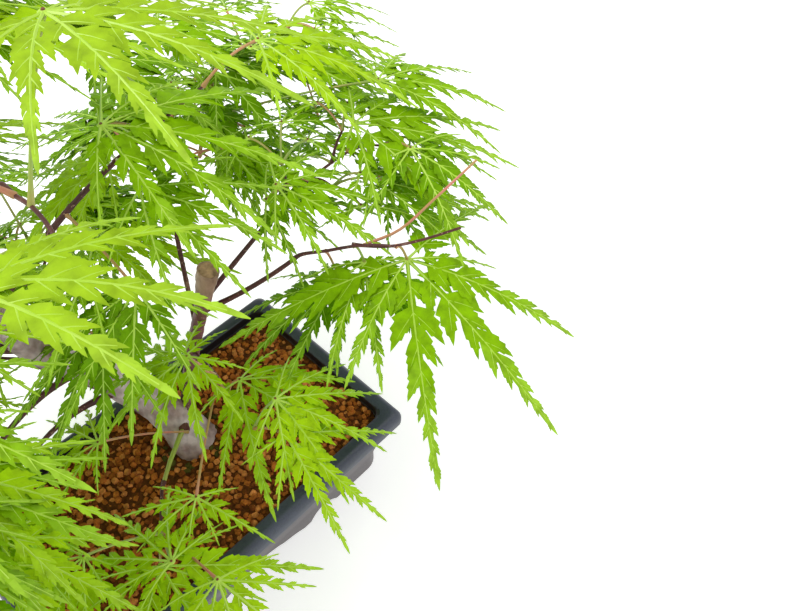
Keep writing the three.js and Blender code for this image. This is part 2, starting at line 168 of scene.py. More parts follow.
def srgb(red, green, blue):
    """A colour read off the photograph, from 0 to 255, as linear light."""
    def linear(value):
        share = value / 255
        return share / 12.92 if share <= 0.04045 else ((share + 0.055) / 1.055) ** 2.4
    return tuple(linear(value) for value in (red, green, blue))


def grey(value):
    """A neutral colour."""
    return (value, value, value)


def shade(colour, amount):
    """A colour made lighter or darker."""
    return tuple(min(1.0, channel * amount) for channel in colour)


def shades(colour, dark, light, top=0.72):
    """The stops of a pattern that wanders from a darker to a lighter shade of one colour."""
    return [(0.3, shade(colour, dark)), (0.5, colour), (top, shade(colour, light))]


def shader_inputs(paint):
    """The sockets of a material's shader."""
    return paint.node_tree.nodes["Principled BSDF"].inputs


def material(name, colour, roughness, specular):
    """A plain base that the finishes below build on."""
    paint = bpy.data.materials.new(name)
    paint.use_nodes = True
    inputs = shader_inputs(paint)
    inputs["Base Color"].default_value = (*colour, 1.0)
    inputs["Roughness"].default_value = roughness
    inputs["Specular IOR Level"].default_value = specular
    return paint


def add_node(paint, kind, sockets):
    """A node whose sockets take plain values or the outputs of other nodes."""
    node = paint.node_tree.nodes.new(kind)
    fill_sockets(paint, node, sockets)
    return node


def fill_sockets(paint, node, sockets):
    """Each named socket of a node takes a plain value or another node's output."""
    for name, value in sockets.items():
        if isinstance(value, bpy.types.NodeSocket):
            paint.node_tree.links.new(value, node.inputs[name])
        else:
            node.inputs[name].default_value = value


def object_place(paint):
    """Coordinates fixed to the object."""
    return add_node(paint, "ShaderNodeTexCoord", {}).outputs["Object"]


def add_noise(paint, scale, detail, stretch=(1, 1, 1)):
    """A noise pattern fixed to the object, whose scale counts its grains in a metre."""
    turn = add_node(paint, "ShaderNodeMapping", {"Vector": object_place(paint), "Scale": stretch})
    sockets = {"Vector": turn.outputs["Vector"], "Scale": scale, "Detail": detail}
    return add_node(paint, "ShaderNodeTexNoise", sockets).outputs["Fac"]


def add_ramp(paint, factor, stops):
    """Colours dealt out along a pattern."""
    ramp = add_node(paint, "ShaderNodeValToRGB", {"Fac": factor})
    elements = ramp.color_ramp.elements
    while len(elements) < len(stops):
        elements.new(0.5)
    for element, (position, colour) in zip(elements, stops):
        element.position = position
        element.color = (*colour, 1.0)
    return ramp.outputs["Color"]


def add_greys(paint, factor, *stops):
    """Greys dealt out along a pattern."""
    return add_ramp(paint, factor, [(position, grey(value)) for position, value in stops])


def add_mix(paint, factor, first, second, blend="MIX"):
    """Two colours mixed by a factor, which is a number or a pattern."""
    mix = paint.node_tree.nodes.new("ShaderNodeMix")
    mix.data_type = "RGBA"
    mix.blend_type = blend
    fill_sockets(paint, mix, {"Factor": factor, "A": first, "B": second})
    return mix.outputs["Result"]


def paint_with(paint, socket, source):
    """A pattern drives one socket of the shader."""
    paint.node_tree.links.new(source, shader_inputs(paint)[socket])


# Finishes: roughness and specular level, the colour's noise, the relief's noise, and the relief's depth in
# metres and strength. A noise is its scale, its detail and, for fibres, how far it is stretched.
Finish = namedtuple("Finish", "roughness specular pattern relief depth strength")
ALONG_FIBRES = (1, 1, 0.3)
LEAF = Finish(0.55, 0.08, (260.0, 3.0), (900.0, 2.0), 0.0002, 0.5)
STALK = Finish(0.38, 0.4, (90.0, 2.0), (1200.0, 2.0), 0.0001, 0.5)
OLD_BARK = Finish(0.8, 0.25, (70.0, 6.0), (420.0, 5.0, ALONG_FIBRES), 0.0005, 0.9)
YOUNG_BARK = Finish(0.5, 0.4, (160.0, 4.0), (1100.0, 1.0), 0.0002, 0.6)
CLAY = Finish(0.95, 0.15, (500.0, 5.0), (1500.0, 4.0), 0.0004, 0.8)
SLATE = Finish(0.42, 0.5, (38.0, 4.0), (700.0, 3.0), 0.00012, 0.5)
SLATE_SPECKLE = (1400.0, 2.0)
DRY_WOOD = (300.0, 4.0, ALONG_FIBRES)

# The heights between which the second stem's living bark gives way to dry wood
DRY_FROM = 104.0
DRY_TO = 114.0


def patterned(name, colour, stops, finish):
    """A material with its finish's pattern and relief. Its colour and both patterns come back with it."""
    paint = material(name, colour, finish.roughness, finish.specular)
    pattern = add_noise(paint, *finish.pattern)
    base = add_ramp(paint, pattern, stops)
    paint_with(paint, "Base Color", base)
    relief = add_noise(paint, *finish.relief)
    sockets = {"Height": relief, "Distance": finish.depth, "Strength": finish.strength}
    paint_with(paint, "Normal", add_node(paint, "ShaderNodeBump", sockets).outputs["Normal"])
    return paint, base, pattern, relief


def leaf_paint(name, colour):
    """Leaf blade: faint mottling, a soft waxy sheen and fine quilting between the veins."""
    paint, _, mottle, _ = patterned(name, colour, shades(colour, 0.74, 1.2), LEAF)
    paint_with(paint, "Roughness", add_greys(paint, mottle, (0.3, 0.45), (0.7, 0.6)))
    return paint


def stalk_paint(name, colour, tint):
    """Stalks and veins: a clear skin, flushed here and there with a second tint."""
    return patterned(name, colour, [(0.35, colour), (0.65, tint)], STALK)[0]


def bark_paint():
    """Old bark: pale grey-pink with darker weathered patches, and painted shade in the creases where the
    fibres of its relief run low.
    """
    pale, mid, dark = srgb(222, 206, 208), srgb(174, 148, 146), srgb(98, 72, 66)
    stops = [(0.32, dark), (0.45, mid), (0.6, pale)]
    paint, base, patches, fibres = patterned("bark_old", mid, stops, OLD_BARK)
    # Painted shade: the colour darkens where the relief's fibres sink, in the creases
    crease_shade = add_greys(paint, fibres, (0.35, 0.62), (0.6, 1.0))
    paint_with(paint, "Base Color", add_mix(paint, 0.8, base, crease_shade, "MULTIPLY"))
    paint_with(paint, "Roughness", add_greys(paint, patches, (0.3, 0.9), (0.7, 0.68)))
    return paint


def young_bark_paint(name, colour, light):
    """Young bark: smooth, with pale lenticels."""
    stops = [(0.35, shade(colour, 0.6)), (0.6, colour), (0.75, light)]
    paint, base, blotch, specks = patterned(name, colour, stops, YOUNG_BARK)
    dots = add_greys(paint, specks, (0.66, 0.0), (0.72, 1.0))
    pale = add_ramp(paint, blotch, [(0.0, light), (1.0, shade(light, 1.2))])
    paint_with(paint, "Base Color", add_mix(paint, dots, base, pale))
    return paint


def stem_paint(name, colour, light):
    """Young bark that gives way to dry grey-brown wood towards the old cut."""
    paint = young_bark_paint(name, colour, light)
    living = shader_inputs(paint)["Base Color"].links[0].from_socket
    height = add_node(paint, "ShaderNodeSeparateXYZ", {"Vector": object_place(paint)}).outputs["Z"]
    low, high = (to_row((0, 0, level))[2] for level in (DRY_FROM, DRY_TO))
    sockets = {"Value": height, "From Min": low, "From Max": high}
    dryness = add_node(paint, "ShaderNodeMapRange", sockets).outputs["Result"]
    stops = [(0.3, srgb(122, 92, 76)), (0.65, srgb(178, 146, 124))]
    dry = add_ramp(paint, add_noise(paint, *DRY_WOOD), stops)
    paint_with(paint, "Base Color", add_mix(paint, dryness, living, dry))
    return paint


def clay_paint(name, colour):
    """Baked clay and bare wood: dusty and pitted."""
    return patterned(name, colour, shades(colour, 0.55, 1.45, 0.7), CLAY)[0]


def slate_paint(name, slate):
    """Satin slate-blue stoneware with clouded colour and a fine speckle."""
    paint, base, clouds, _ = patterned(name, slate, shades(slate, 0.78, 1.25), SLATE)
    speckle = add_greys(paint, add_noise(paint, *SLATE_SPECKLE), (0.3, 0.72), (0.5, 1.0), (0.75, 1.2))
    paint_with(paint, "Base Color", add_mix(paint, 0.6, base, speckle, "MULTIPLY"))
    paint_with(paint, "Roughness", add_greys(paint, clouds, (0.3, 0.34), (0.7, 0.5)))
    return paint


# Many small closed shells

class Shells:
    """Small closed shells of one kind, kept as arrays until they become one mesh."""

    def __init__(self):
        self.points = []
        self.faces = []
        self.tints = []
        self.count = 0

    def add(self, points, faces, tints=0):
        """One more shell, with the number of the paint that all its faces or each of them takes."""
        start = self.count
        self.points.append(np.asarray(points, float))
        self.faces.extend([tuple(start + corner for corner in face) for face in faces])
        self.tints.append(np.broadcast_to(tints, len(faces)))
        self.count += len(points)

    def to_object(self, name, crease):
        """All the shells as one object, smooth up to the crease angle."""
        data = bpy.data.meshes.new(name)
        data.from_pydata(to_row(np.concatenate(self.points)).tolist(), [], self.faces)
        data.polygons.foreach_set("material_index", np.concatenate(self.tints).astype(np.int32))
        return smooth_up_to(link_new(name, data), crease)


def smooth_up_to(made, crease):
    """The object's faces are smooth, with hard edges past the crease angle."""
    made.data.shade_smooth()
    made.data.set_sharp_from_angle(angle=math.radians(crease))
    return made


def unit(vector):
    """A direction of length one."""
    return vector / np.linalg.norm(vector)


def rings_along(path, sides, radius_at):
    """Rings of points square to a path, whose radius depends on the share of the way and on the angle."""
    across = np.array([1.0, 0.0, 0.0])
    angles = np.arange(sides) / sides * 2 * math.pi
    last = len(path) - 1
    rings = []
    for index, point in enumerate(path):
        forward = unit(path[min(index + 1, last)] - path[max(index - 1, 0)])
        if index == 0 and abs(forward[0]) > 0.8:
            across = np.array([0.0, 1.0, 0.0])
        across = unit(across - forward * np.dot(across, forward))
        side = np.cross(forward, across)
        radii = np.array([radius_at(index / last, angle) for angle in angles])[:, None]
        rings.append(point + radii * (np.outer(np.cos(angles), across) + np.outer(np.sin(angles), side)))
    return rings


def listed(radii):
    """Radii listed ring by ring, as a rule for rings_along."""
    return lambda share, angle: radii[round(share * (len(radii) - 1))]


def tube_faces(rings, sides):
    """Faces of a closed tube whose points are listed ring by ring."""
    faces = []
    for ring in range(rings - 1):
        for side in range(sides):
            low = ring * sides + side
            turn = ring * sides + (side + 1) % sides
            faces.append((low, turn, turn + sides, low + sides))
    faces.append(tuple(range(sides - 1, -1, -1)))
    faces.append(tuple(range((rings - 1) * sides, rings * sides)))
    return faces


def add_tube(shells, path, radii, sides):
    """A slim round tube along a path, such as a stalk."""
    shells.add(np.concatenate(rings_along(path, sides, listed(radii))), tube_faces(len(path), sides))


# The source's rule for limbs, shoots and leaves, written again

CLEAR = 0.3
SOIL_TOP = 30.0
TRUNK_FOOT = 9.9
TRUNK_TIP = 3.2
BOUGH_TIP_RADIUS = 0.95
LOBE_ANGLES = (-96, -62, -30, 0, 30, 62, 96)
LOBE_SHARES = (0.55, 0.8, 0.98, 1, 0.98, 0.8, 0.55)
LOBE_DROOP = 0.3
LOBE_WIDTH = 0.2
TWIG_RADIUS = 0.85
STALK_RADIUS = 0.75
SAMPLE_STEP = 2
KEEP_AWAY = 3

TRUNK_POINTS = ((10.5, 7.5, SOIL_TOP - 8), (8.5, 15, 41), (5, 22, 53), (-6, 28, 77), (-20, 25, 110),
                (-26, 14, 148), (-24, 2, 184))
STEM_POINTS = ((6, 10, 38), (16, 15, 48), (21, 15, 62), (25, 12, 80), (29, 8, 97), (34, 1, 124))


def seeded_random(seed):
    """The source's own random rule: numbers between a low and a high value."""
    state = seed

    def draw(low, high):
        nonlocal state
        state = (state * 1664525 + 1013904223) % 4294967296
        return low + (high - low) * state / 4294967296

    return draw


def place(x, y, z):
    """A point as an array."""
    return np.array([x, y, z], float)


def point_from(origin, heading, reach, rise):
    """A point that lies reach away along a compass heading, and higher by rise."""
    angle = math.radians(heading)
    return origin + np.array([reach * math.cos(angle), reach * math.sin(angle), rise])


def distance(first, second):
    """How far two points lie apart."""
    return float(np.linalg.norm(first - second))


class Curve:
    """A centripetal spline through points, read by its share of the length."""

    DIVISIONS = 200

    def __init__(self, points):
        self.points = [place(*point) for point in points]
        line = [self.at(i / self.DIVISIONS) for i in range(self.DIVISIONS + 1)]
        steps = [distance(a, b) for a, b in zip(line, line[1:])]
        self.lengths = np.concatenate([[0.0], np.cumsum(steps)])

    def at(self, share):
        """The point at a share of the spline's own parameter."""
        points = self.points
        last = len(points) - 1
        index = min(int(last * share), last - 1)
        weight = last * share - index
        first = points[index - 1] if index > 0 else 2 * points[0] - points[1]
        fourth = points[index + 2] if index + 2 <= last else 2 * points[last] - points[last - 1]
        return spline_point(first, points[index], points[index + 1], fourth, weight)

    def at_length(self, share):
        """The point at a share of the length."""
        target = share * self.lengths[-1]
        shares = np.arange(self.DIVISIONS + 1) / self.DIVISIONS
        return self.at(float(np.interp(target, self.lengths, shares)))

    def spaced(self, count):
        """Points at even steps along the length."""
        return [self.at_length(i / count) for i in range(count + 1)]


def spline_point(first, second, third, fourth, weight):
    """One stretch of a centripetal spline."""
    before = math.sqrt(distance(first, second))
    step = math.sqrt(distance(second, third))
    after = math.sqrt(distance(third, fourth))
    start = (second - first) / before - (third - first) / (before + step) + (third - second) / step
    end = (third - second) / step - (fourth - second) / (step + after) + (fourth - third) / after
    start, end = start * step, end * step
    square = -3 * second + 3 * third - 2 * start - end
    cube = 2 * second - 2 * third + start + end
    return second + start * weight + square * weight ** 2 + cube * weight ** 3


CURVES = {"trunk": Curve(TRUNK_POINTS), "second_stem": Curve(STEM_POINTS)}


def trunk_radius(share, angle):
    """A swollen foot with three blunt roots, then an even taper."""
    even = TRUNK_FOOT * 0.78 + (TRUNK_TIP - TRUNK_FOOT * 0.78) * share
    foot = math.exp(-share * 12)
    roots = 1 + 0.10 * foot * math.cos(3 * angle + 0.6)
    ripple = 1 + 0.03 * math.sin(2 * angle + 9 * share)
    return (even + TRUNK_FOOT * 0.3 * foot) * roots * ripple


def stem_radius(share):
    """The second stem swells a little round the old cut at its top."""
    return 3.1 - 0.9 * share + 1.6 * max(0.0, share - 0.72) / 0.28


# Boughs: name, parent, share of the parent's length, heading, reach, rise, arch and radius at the root
BOUGHS = (
    ("right_front", "second_stem", 0.74, -42, 36, 25, -2, 1.5),
    ("right", "second_stem", 0.8, -8, 38, 26, 0, 1.3),
    ("right_rear", "second_stem", 0.62, 58, 38, 34, 3, 1.3),
    ("front_right", "second_stem", 0.46, -98, 20, 8, 2, 1.2),
    ("front_low", "trunk", 0.09, 226, 32, 14, 1, 1.3),
    ("left_low", "trunk", 0.26, 188, 40, 12, 6, 2.2),
    ("rear_left", "trunk", 0.34, 128, 28, 8, 5, 2.1),
    ("front_left", "trunk", 0.4, 208, 44, 18, 5, 2.1),
    ("rear", "trunk", 0.46, 66, 24, 12, 4, 2),
    ("left", "trunk", 0.56, 174, 36, 18, 5, 1.9),
    ("front", "trunk", 0.62, 216, 36, 22, 4, 1.8),
    ("rear_upper", "trunk", 0.7, 104, 26, 20, 3, 1.7),
    ("upper_right", "trunk", 0.76, 2, 50, 24, 3, 1.7),
    ("top_left", "trunk", 0.86, 206, 30, 26, 3, 1.5),
    ("top_front", "trunk", 0.93, 292, 26, 34, 2, 1.5),
    ("top_rear", "trunk", 0.97, 84, 20, 32, 2, 1.4),
)

# Masses: name, heading, slope and length of the shoot, pairs of ruled leaves, seed of the rule
MASSES = (
    ("right_front", -57, 20, 34, 0, 11),
    ("right", -4, 8, 34, 0, 12),
    ("right_rear", 35, 5, 34, 1, 13),
    ("front_low", 235, 8, 20, 0, 15),
    ("front_right", -100, 4, 28, 0, 14),
    ("top_front", 268, 12, 28, 0, 25),
    ("upper_right", 4, 10, 34, 0, 23),
    ("left_low", 180, 0, 32, 2, 16),
    ("rear_left", 132, 2, 30, 2, 17),
    ("front_left", 194, 4, 32, 2, 18),
    ("rear", 72, 2, 26, 2, 19),
    ("left", 172, 6, 32, 2, 20),
    ("front", 196, 8, 26, 2, 21),
    ("rear_upper", 100, 10, 28, 2, 22),
    ("top_left", 200, 12, 28, 2, 24),
    ("top_rear", 70, 6, 24, 1, 26),
)

# Leaves that the photograph shows clearly: centre, heading, pitch, roll, span and set of lobes, by mass
PLACED = {
    "right_front": (
        (82, -44, 125, 263, 6, 2, 64, "A"),
        (69, -24, 108, 165, 8, 8, 42, ""),
    ),
    "right": (
        (98, -4, 150, 309, 4, 2, 56, "B"),
        (99, -18, 126, 350, 8, -6, 42, ""),
        (60, -1, 139, 319, 8, 7, 36, "D"),
    ),
    "right_rear": (
        (118, 4, 153, 324, 5, 0, 48, ""),
        (71, 41, 120, 300, 14, -10, 34, "E"),
        (62, 66, 132, 70, 12, 0, 46, ""),
    ),
    "front_low": (
        (-33, -47, 77, 262, 4, -10, 46, "K"),
        (-48, -24, 72, 205, 6, 0, 38, ""),
        (-22, 8, 72, 135, 4, 0, 32, "L"),
    ),
    "front_right": (
        (24, -19, 90, 275, 2, 8, 44, "H"),
        (19, -50, 96, 287, 10, -8, 42, "I"),
        (-12, -39, 82, 232, 2, 0, 34, "J"),
        (12, -12, 110, 208, -4, 4, 36, ""),
    ),
    "top_front": (
        (-35, -56, 223, 317, -12, -14, 46, ""),
        (4, -28, 242, 296, -6, -12, 50, ""),
        (-38, -18, 236, 212, 6, 0, 46, ""),
    ),
    "upper_right": (
        (22, 13, 184, 324, 7, 3, 54, "M"),
        (76, 12, 185, 342, 7, 3, 50, ""),
    ),
}

# Turns and lengths of the seven lobes of these leaves, from right to left of the heading
LOBE_SETS = {
    "": (LOBE_ANGLES, LOBE_SHARES),
    "A": ((-107, -70, -35, 2, 35, 63, 101), (1.04, 0.7, 1.08, 1.09, 0.93, 0.49, 0.8)),
    "B": ((-100, -68, -34, 6, 27, 60, 100), (0.4, 0.63, 0.94, 1.05, 1.05, 0.8, 0.9)),
    "D": ((-93, -67, -27, 11, 31, 63, 94), (0.74, 0.8, 0.78, 1.07, 0.78, 0.59, 0.7)),
    "E": ((-93, -62, -44, 0, 30, 62, 96), (0.54, 0.8, 0.48, 0.44, 0.98, 0.8, 0.55)),
    "H": ((-110, -58, -38, 10, 45, 62, 95), (0.45, 0.83, 1.03, 0.82, 0.91, 0.54, 0.43)),
    "I": ((-115, -67, -31, -11, 42, 70, 105), (0.4, 0.56, 0.93, 0.93, 0.92, 0.44, 0.35)),
    "J": ((-120, -87, -60, -15, 26, 54, 103), (0.52, 0.77, 0.7, 0.5, 0.49, 0.83, 0.4)),
    "L": (LOBE_ANGLES, LOBE_SHARES),
    "K": ((-120, -90, -45, 0, 40, 58, 96), (0.45, 0.5, 0.8, 0.9, 0.71, 1.09, 0.6)),
    "M": ((-96, -62, -30, -3, 33, 60, 93), (0.55, 0.8, 0.98, 1.06, 1.21, 0.74, 0.66)),
}
ALL_LOBES = range(len(LOBE_ANGLES))

# Where the stalks of two of them start: at the front shoot's first node, and at the trunk's old bud
STALK_ROOTS = {"J": place(21, -9, 83), "L": place(8, 6, 43)}

# Ends that have lost their leaves: a red-brown twig and a pink stalk beyond the lowest right bough
BARE_TWIG = (place(68, -33, 135), place(74, -43, 137), place(80, -52, 142), place(86, -62, 150))
BARE_STALK = (place(70, -36, 135.6), place(80, -42, 139), place(93, -46, 147), place(107, -50, 156))
BARE_STALK_STEPS = 14
BARE_STALK_RADII = np.linspace(0.55, 0.42, BARE_STALK_STEPS + 1)


def bough_path(sizes, steps=5):
    """A bough runs straight on its heading and arches up or down between its ends."""
    _, parent, share, heading, reach, rise, arch, _ = sizes
    start = CURVES[parent].at_length(share)
    path = []
    for i in range(steps + 1):
        along = i / steps
        path.append(point_from(start, heading, reach * along, rise * along + arch * 4 * along * (1 - along)))
    return path


def shoot_path(sizes):
    """A shoot starts square to its bough's tip, then turns to its own heading."""
    name, heading, slope, length = sizes[:4]
    bough = next(entry for entry in BOUGHS if entry[0] == name)
    path = bough_path(bough)
    forward = unit(path[-1] - path[-2])
    start = path[-1] + forward * CLEAR
    shoot = [start, start + forward * 2]
    steps = 4
    for i in range(1, steps + 1):
        reach = length * i / steps
        ease = length * 0.12 * math.sin(math.pi * i / steps)
        rise = reach * math.tan(math.radians(slope))
        shoot.append(point_from(start, heading, reach, rise) + forward * ease)
    return shoot


def leaf_directions(leaf):
    """A leaf's own directions: ahead along its middle lobe, and aside to its left."""
    heading, pitch, roll = (math.radians(leaf[key]) for key in ("heading", "pitch", "roll"))
    level = math.cos(pitch)
    ahead = np.array([math.cos(heading) * level, math.sin(heading) * level, -math.sin(pitch)])
    left = np.array([-math.sin(heading), math.cos(heading), 0.0])
    upright = np.cross(ahead, left)
    return ahead, left * math.cos(roll) + upright * math.sin(roll)


def lobe_direction(leaf, angle):
    """The way a lobe leaves the leaf's centre."""
    ahead, aside = leaf_directions(leaf)
    turn = math.radians(angle)
    return ahead * math.cos(turn) + aside * math.sin(turn)


def make_leaf(mass, node, centre, heading, pitch, roll, span, lobe_set=""):
    """A leaf of a mass: where its stalk starts, where its lobes meet, how it lies and how they spread."""
    return dict(mass=mass, node=node, centre=centre, heading=heading, pitch=pitch, roll=roll, span=span,
                set=lobe_set)


def placed_leaves(name, shoot):
    """Leaves that stand where the photograph shows them."""
    leaves = []
    for x, y, z, *lie in PLACED.get(name, ()):
        centre = place(x, y, z)
        node = min(shoot[2:], key=lambda point: distance(point, centre))
        leaves.append(make_leaf(name, node, centre, *lie))
    return leaves


def ruled_leaves(sizes, shoot):
    """Leaves in opposite pairs along the shoot, with one at its end."""
    name, mass_heading, _, _, pairs, seed = sizes
    draw = seeded_random(seed)
    leaves = []

    def add_leaf(node, turn):
        heading = mass_heading + turn + draw(-12, 12)
        centre = point_from(node, heading, draw(20, 28), draw(4, 12))
        leaves.append(make_leaf(name, node, centre, heading + draw(-15, 15), draw(6, 20), draw(-10, 10),
                                draw(42, 52)))

    for pair in range(pairs):
        node = shoot[2 if pair == 0 else len(shoot) - 2]
        add_leaf(node, 78 - 18 * pair)
        add_leaf(node, -78 + 18 * pair)
    if pairs:
        add_leaf(shoot[-1], 0)
    return leaves


class Room:
    """Space that limbs and leaves have taken, so that no leaf grows through another mass."""

    def __init__(self):
        self.taken = {}

    @staticmethod
    def cell(point):
        """The small cube that a point lies in."""
        return tuple(int(math.floor(value / KEEP_AWAY)) for value in point)

    def claim(self, points, owner):
        """These points now belong to an owner."""
        for point in points:
            self.taken.setdefault(self.cell(point), []).append((point, owner))

    def is_free(self, point, owner):
        """No other owner has a point close by."""
        i, j, k = self.cell(point)
        for a in (i - 1, i, i + 1):
            for b in (j - 1, j, j + 1):
                for c in (k - 1, k, k + 1):
                    for other, name in self.taken.get((a, b, c), ()):
                        if name != owner and distance(other, point) < KEEP_AWAY:
                            return False
        return True

    def has_room(self, points, owner):
        """Every one of these points is free."""
        return all(self.is_free(point, owner) for point in points)


def samples_along(path, radius=0.0):
    """Points along a path, and round it where it is a thick limb."""
    samples = []
    for first, second in zip(path, path[1:]):
        steps = math.ceil(distance(first, second) / SAMPLE_STEP)
        samples.extend(first + (second - first) * step / steps for step in range(steps + 1))
    if radius <= STALK_RADIUS:
        return samples
    ways = [sign * way for way in np.eye(3) for sign in (1, -1)]
    return [point + radius * way for point in samples for way in [np.zeros(3), *ways]]


def samples_on_lobe(leaf, angle, length):
    """Points on the plain kite that stands for a lobe in the source."""
    out = lobe_direction(leaf, angle)
    middle = leaf["centre"] + out * length * 0.5 - UP * length * LOBE_DROOP * 0.25
    tip = leaf["centre"] + out * length - UP * length * LOBE_DROOP
    side = unit(np.cross(tip - leaf["centre"], UP))
    half = length * LOBE_WIDTH / 2 + 1
    samples = []
    steps = math.ceil(length / SAMPLE_STEP)
    for step in range(steps + 1):
        share = step / steps
        if share < 0.5:
            spine = leaf["centre"] + (middle - leaf["centre"]) * share * 2
        else:
            spine = middle + (tip - middle) * (share * 2 - 1)
        width = half * (1 - abs(2 * share - 1))
        rows = math.ceil(width / SAMPLE_STEP)
        samples.extend(spine + side * (width * row / rows if rows else 0) for row in range(-rows, rows + 1))
    return samples


def stalk_samples(leaf):
    """Points along the plain stalk that the source gives a leaf."""
    lifted = (leaf["node"] + leaf["centre"]) / 2 + UP * 3
    return samples_along([leaf["node"], lifted, leaf["centre"]])


def keep_leaf(room, leaf, owner):
    """The leaf's lobes that have room, or none where the leaf itself has no room."""
    stalk = stalk_samples(leaf)
    if not room.has_room(stalk[2:], owner):
        return []
    lobes = []
    for index, (angle, share) in enumerate(zip(LOBE_ANGLES, LOBE_SHARES)):
        samples = samples_on_lobe(leaf, angle, leaf["span"] * share)
        if room.has_room(samples, owner):
            lobes.append((index, samples))
    if len(lobes) < 3:
        return []
    room.claim(stalk, owner)
    for _, samples in lobes:
        room.claim(samples, owner)
    return [index for index, _ in lobes]


def grow():
    """Every shoot, and every leaf with the lobes that it keeps, by the source's rule."""
    room = Room()
    room.claim(samples_along(CURVES["trunk"].spaced(20), 5), "limbs")
    room.claim(samples_along(CURVES["second_stem"].spaced(12), 3), "limbs")
    for bough in BOUGHS:
        room.claim(samples_along(bough_path(bough)[:-1], 1), "limbs")
    shoots = {sizes[0]: shoot_path(sizes) for sizes in MASSES}
    for name, shoot in shoots.items():
        room.claim(samples_along(shoot), name)
    leaves = []
    for sizes in MASSES:
        name = sizes[0]
        for leaf in placed_leaves(name, shoots[name]) + ruled_leaves(sizes, shoots[name]):
            leaf["lobes"] = keep_leaf(room, leaf, name)
            if leaf["lobes"]:
                leaves.append(leaf)
    return shoots, leaves, room


# Finer growth than the source carries: side twigs with small leaves, within the same reach

BARE_SHOOTS = ("right_front", "front_low", "front_right", "top_front", "upper_right")
SIDE_TURNS = (64, -58, 40, -46)
LEAF_TURNS = (42, -46, 2)
TWIG_ARCH = 1.5
REACH_LOW = place(-154, -108, 34)
REACH_HIGH = place(148, 118, 238)

# The gap at the left front, through which the photograph shows the soil
GAP_LOW = place(-52, -18, 70)
GAP_HIGH = place(-36, 0, 110)

# Leaves behind the clear ones, where the photograph is green: centre, heading, pitch, roll, span
BACK_LEAVES = (
    (90, 19, 126, 75, 10, 0, 38), (118, 39, 118, 60, 12, 6, 38), (76, 71, 165, 320, 8, -8, 46),
    (87, 57, 150, 294, 10, 8, 46), (128, 44, 128, 350, 10, 0, 40), (43, 54, 175, 330, 8, 6, 46),
    (71, 54, 140, 320, 14, -6, 40), (21, 0, 170, 304, 8, 4, 40), (30, 40, 150, 150, 10, 6, 44),
    (-4, 6, 122, 205, 10, 0, 40), (6, -10, 148, 200, 8, 0, 42), (12, -8, 105, 105, 14, 0, 36),
    (114, -3, 105, 325, 10, 4, 44),
    (104, 62, 140, 15, 10, 0, 38), (122, 52, 142, 340, 10, 0, 36), (108, 30, 152, 350, 8, 0, 42),
    (92, 40, 162, 20, 10, 0, 42), (60, -8, 150, 322, 8, 0, 40), (72, -34, 124, 232, 12, 0, 40),
    (-24, -66, 84, 250, 8, 0, 36), (0, 4, 150, 150, 8, 0, 40), (-30, -50, 81, 95, 10, 0, 36),
    (24, -40, 101, 300, 12, 0, 38), (136, 60, 152, 345, 8, 0, 36), (112, 82, 150, 60, 8, 0, 36),
    (126, 46, 151, 300, 10, 0, 36), (-20, -8, 234, 105, 6, 0, 44), (-32, 14, 228, 165, 8, 0, 44),
    (-10, 16, 230, 50, 8, 0, 44),
)
REAR_TWIG = (place(75, 62, 127), place(90, 68, 133), place(106, 66, 141), place(122, 58, 148))


def side_twigs(sizes, shoot):
    """Short twigs to both sides of a shoot: each one's heading, and its path from a node."""
    name, heading, _, _, _, seed = sizes
    if name in BARE_SHOOTS:
        return []
    draw = random.Random(seed).uniform
    twigs = []
    for side_turn, node in zip(SIDE_TURNS, shoot[1:]):
        turn = heading + side_turn + draw(-15, 15)
        reach, rise = draw(9, 15), draw(-3, 6)
        middle = point_from(node, turn, reach * 0.5, rise * 0.5 + TWIG_ARCH)
        twigs.append((turn, [node, middle, point_from(node, turn, reach, rise)]))
    return twigs


def small_leaf(name, turn, node, draw):
    """A small leaf at a twig's end."""
    heading = turn + draw(-30, 30)
    centre = point_from(node, heading, draw(9, 16), draw(1, 8))
    return make_leaf(name, node, centre, heading + draw(-15, 15), draw(4, 22), draw(-12, 12), draw(30, 42))


def within_reach(leaf):
    """The leaf stays inside the crown's reach, and out of the gap at the left front."""
    if np.all(leaf["centre"] > GAP_LOW) and np.all(leaf["centre"] < GAP_HIGH):
        return False
    tips = [leaf["centre"] + lobe_direction(leaf, angle) * leaf["span"] * share
            for angle, share in zip(LOBE_ANGLES, LOBE_SHARES)]
    return np.all(np.min(tips, axis=0) > REACH_LOW) and np.all(np.max(tips, axis=0) < REACH_HIGH)


def add_twigs(shoots, leaves, room):
    """Side twigs that end in small leaves with room for them. Their leaves join the others."""
    twigs = []
    for sizes in MASSES:
        name = sizes[0]
        draw = random.Random(sizes[5] + 100).uniform
        for turn, path in side_twigs(sizes, shoots[name]):
            ends = [small_leaf(name, turn + side, path[-1], draw) for side in LEAF_TURNS]
            for leaf in ends:
                leaf["lobes"] = keep_leaf(room, leaf, name) if within_reach(leaf) else []
            kept = [leaf for leaf in ends if leaf["lobes"]]
            if kept:
                twigs.append(path)
                leaves += kept
    return twigs


def growth_nodes(shoots):
    """Every place that a stalk can start from, with the mass that it belongs to."""
    nodes = [(name, point) for name, shoot in shoots.items() for point in shoot[2:]]
    nodes += [(sizes[0], point) for sizes in BOUGHS for point in bough_path(sizes)[2:]]
    nodes += [("front", point) for point in CURVES["trunk"].spaced(10)[5:]]
    return nodes + [("right_rear", point) for point in REAR_TWIG]


def back_leaves(nodes):
    """The leaves behind those that show clearly, each with its stalk from the nearest node."""
    leaves = []
    for x, y, z, *lie in BACK_LEAVES:
        centre = place(x, y, z)
        name, node = min(nodes, key=lambda entry: distance(entry[1], centre))
        leaves.append(make_leaf(name, node, centre, *lie))
        leaves[-1]["lobes"] = ALL_LOBES
    return leaves


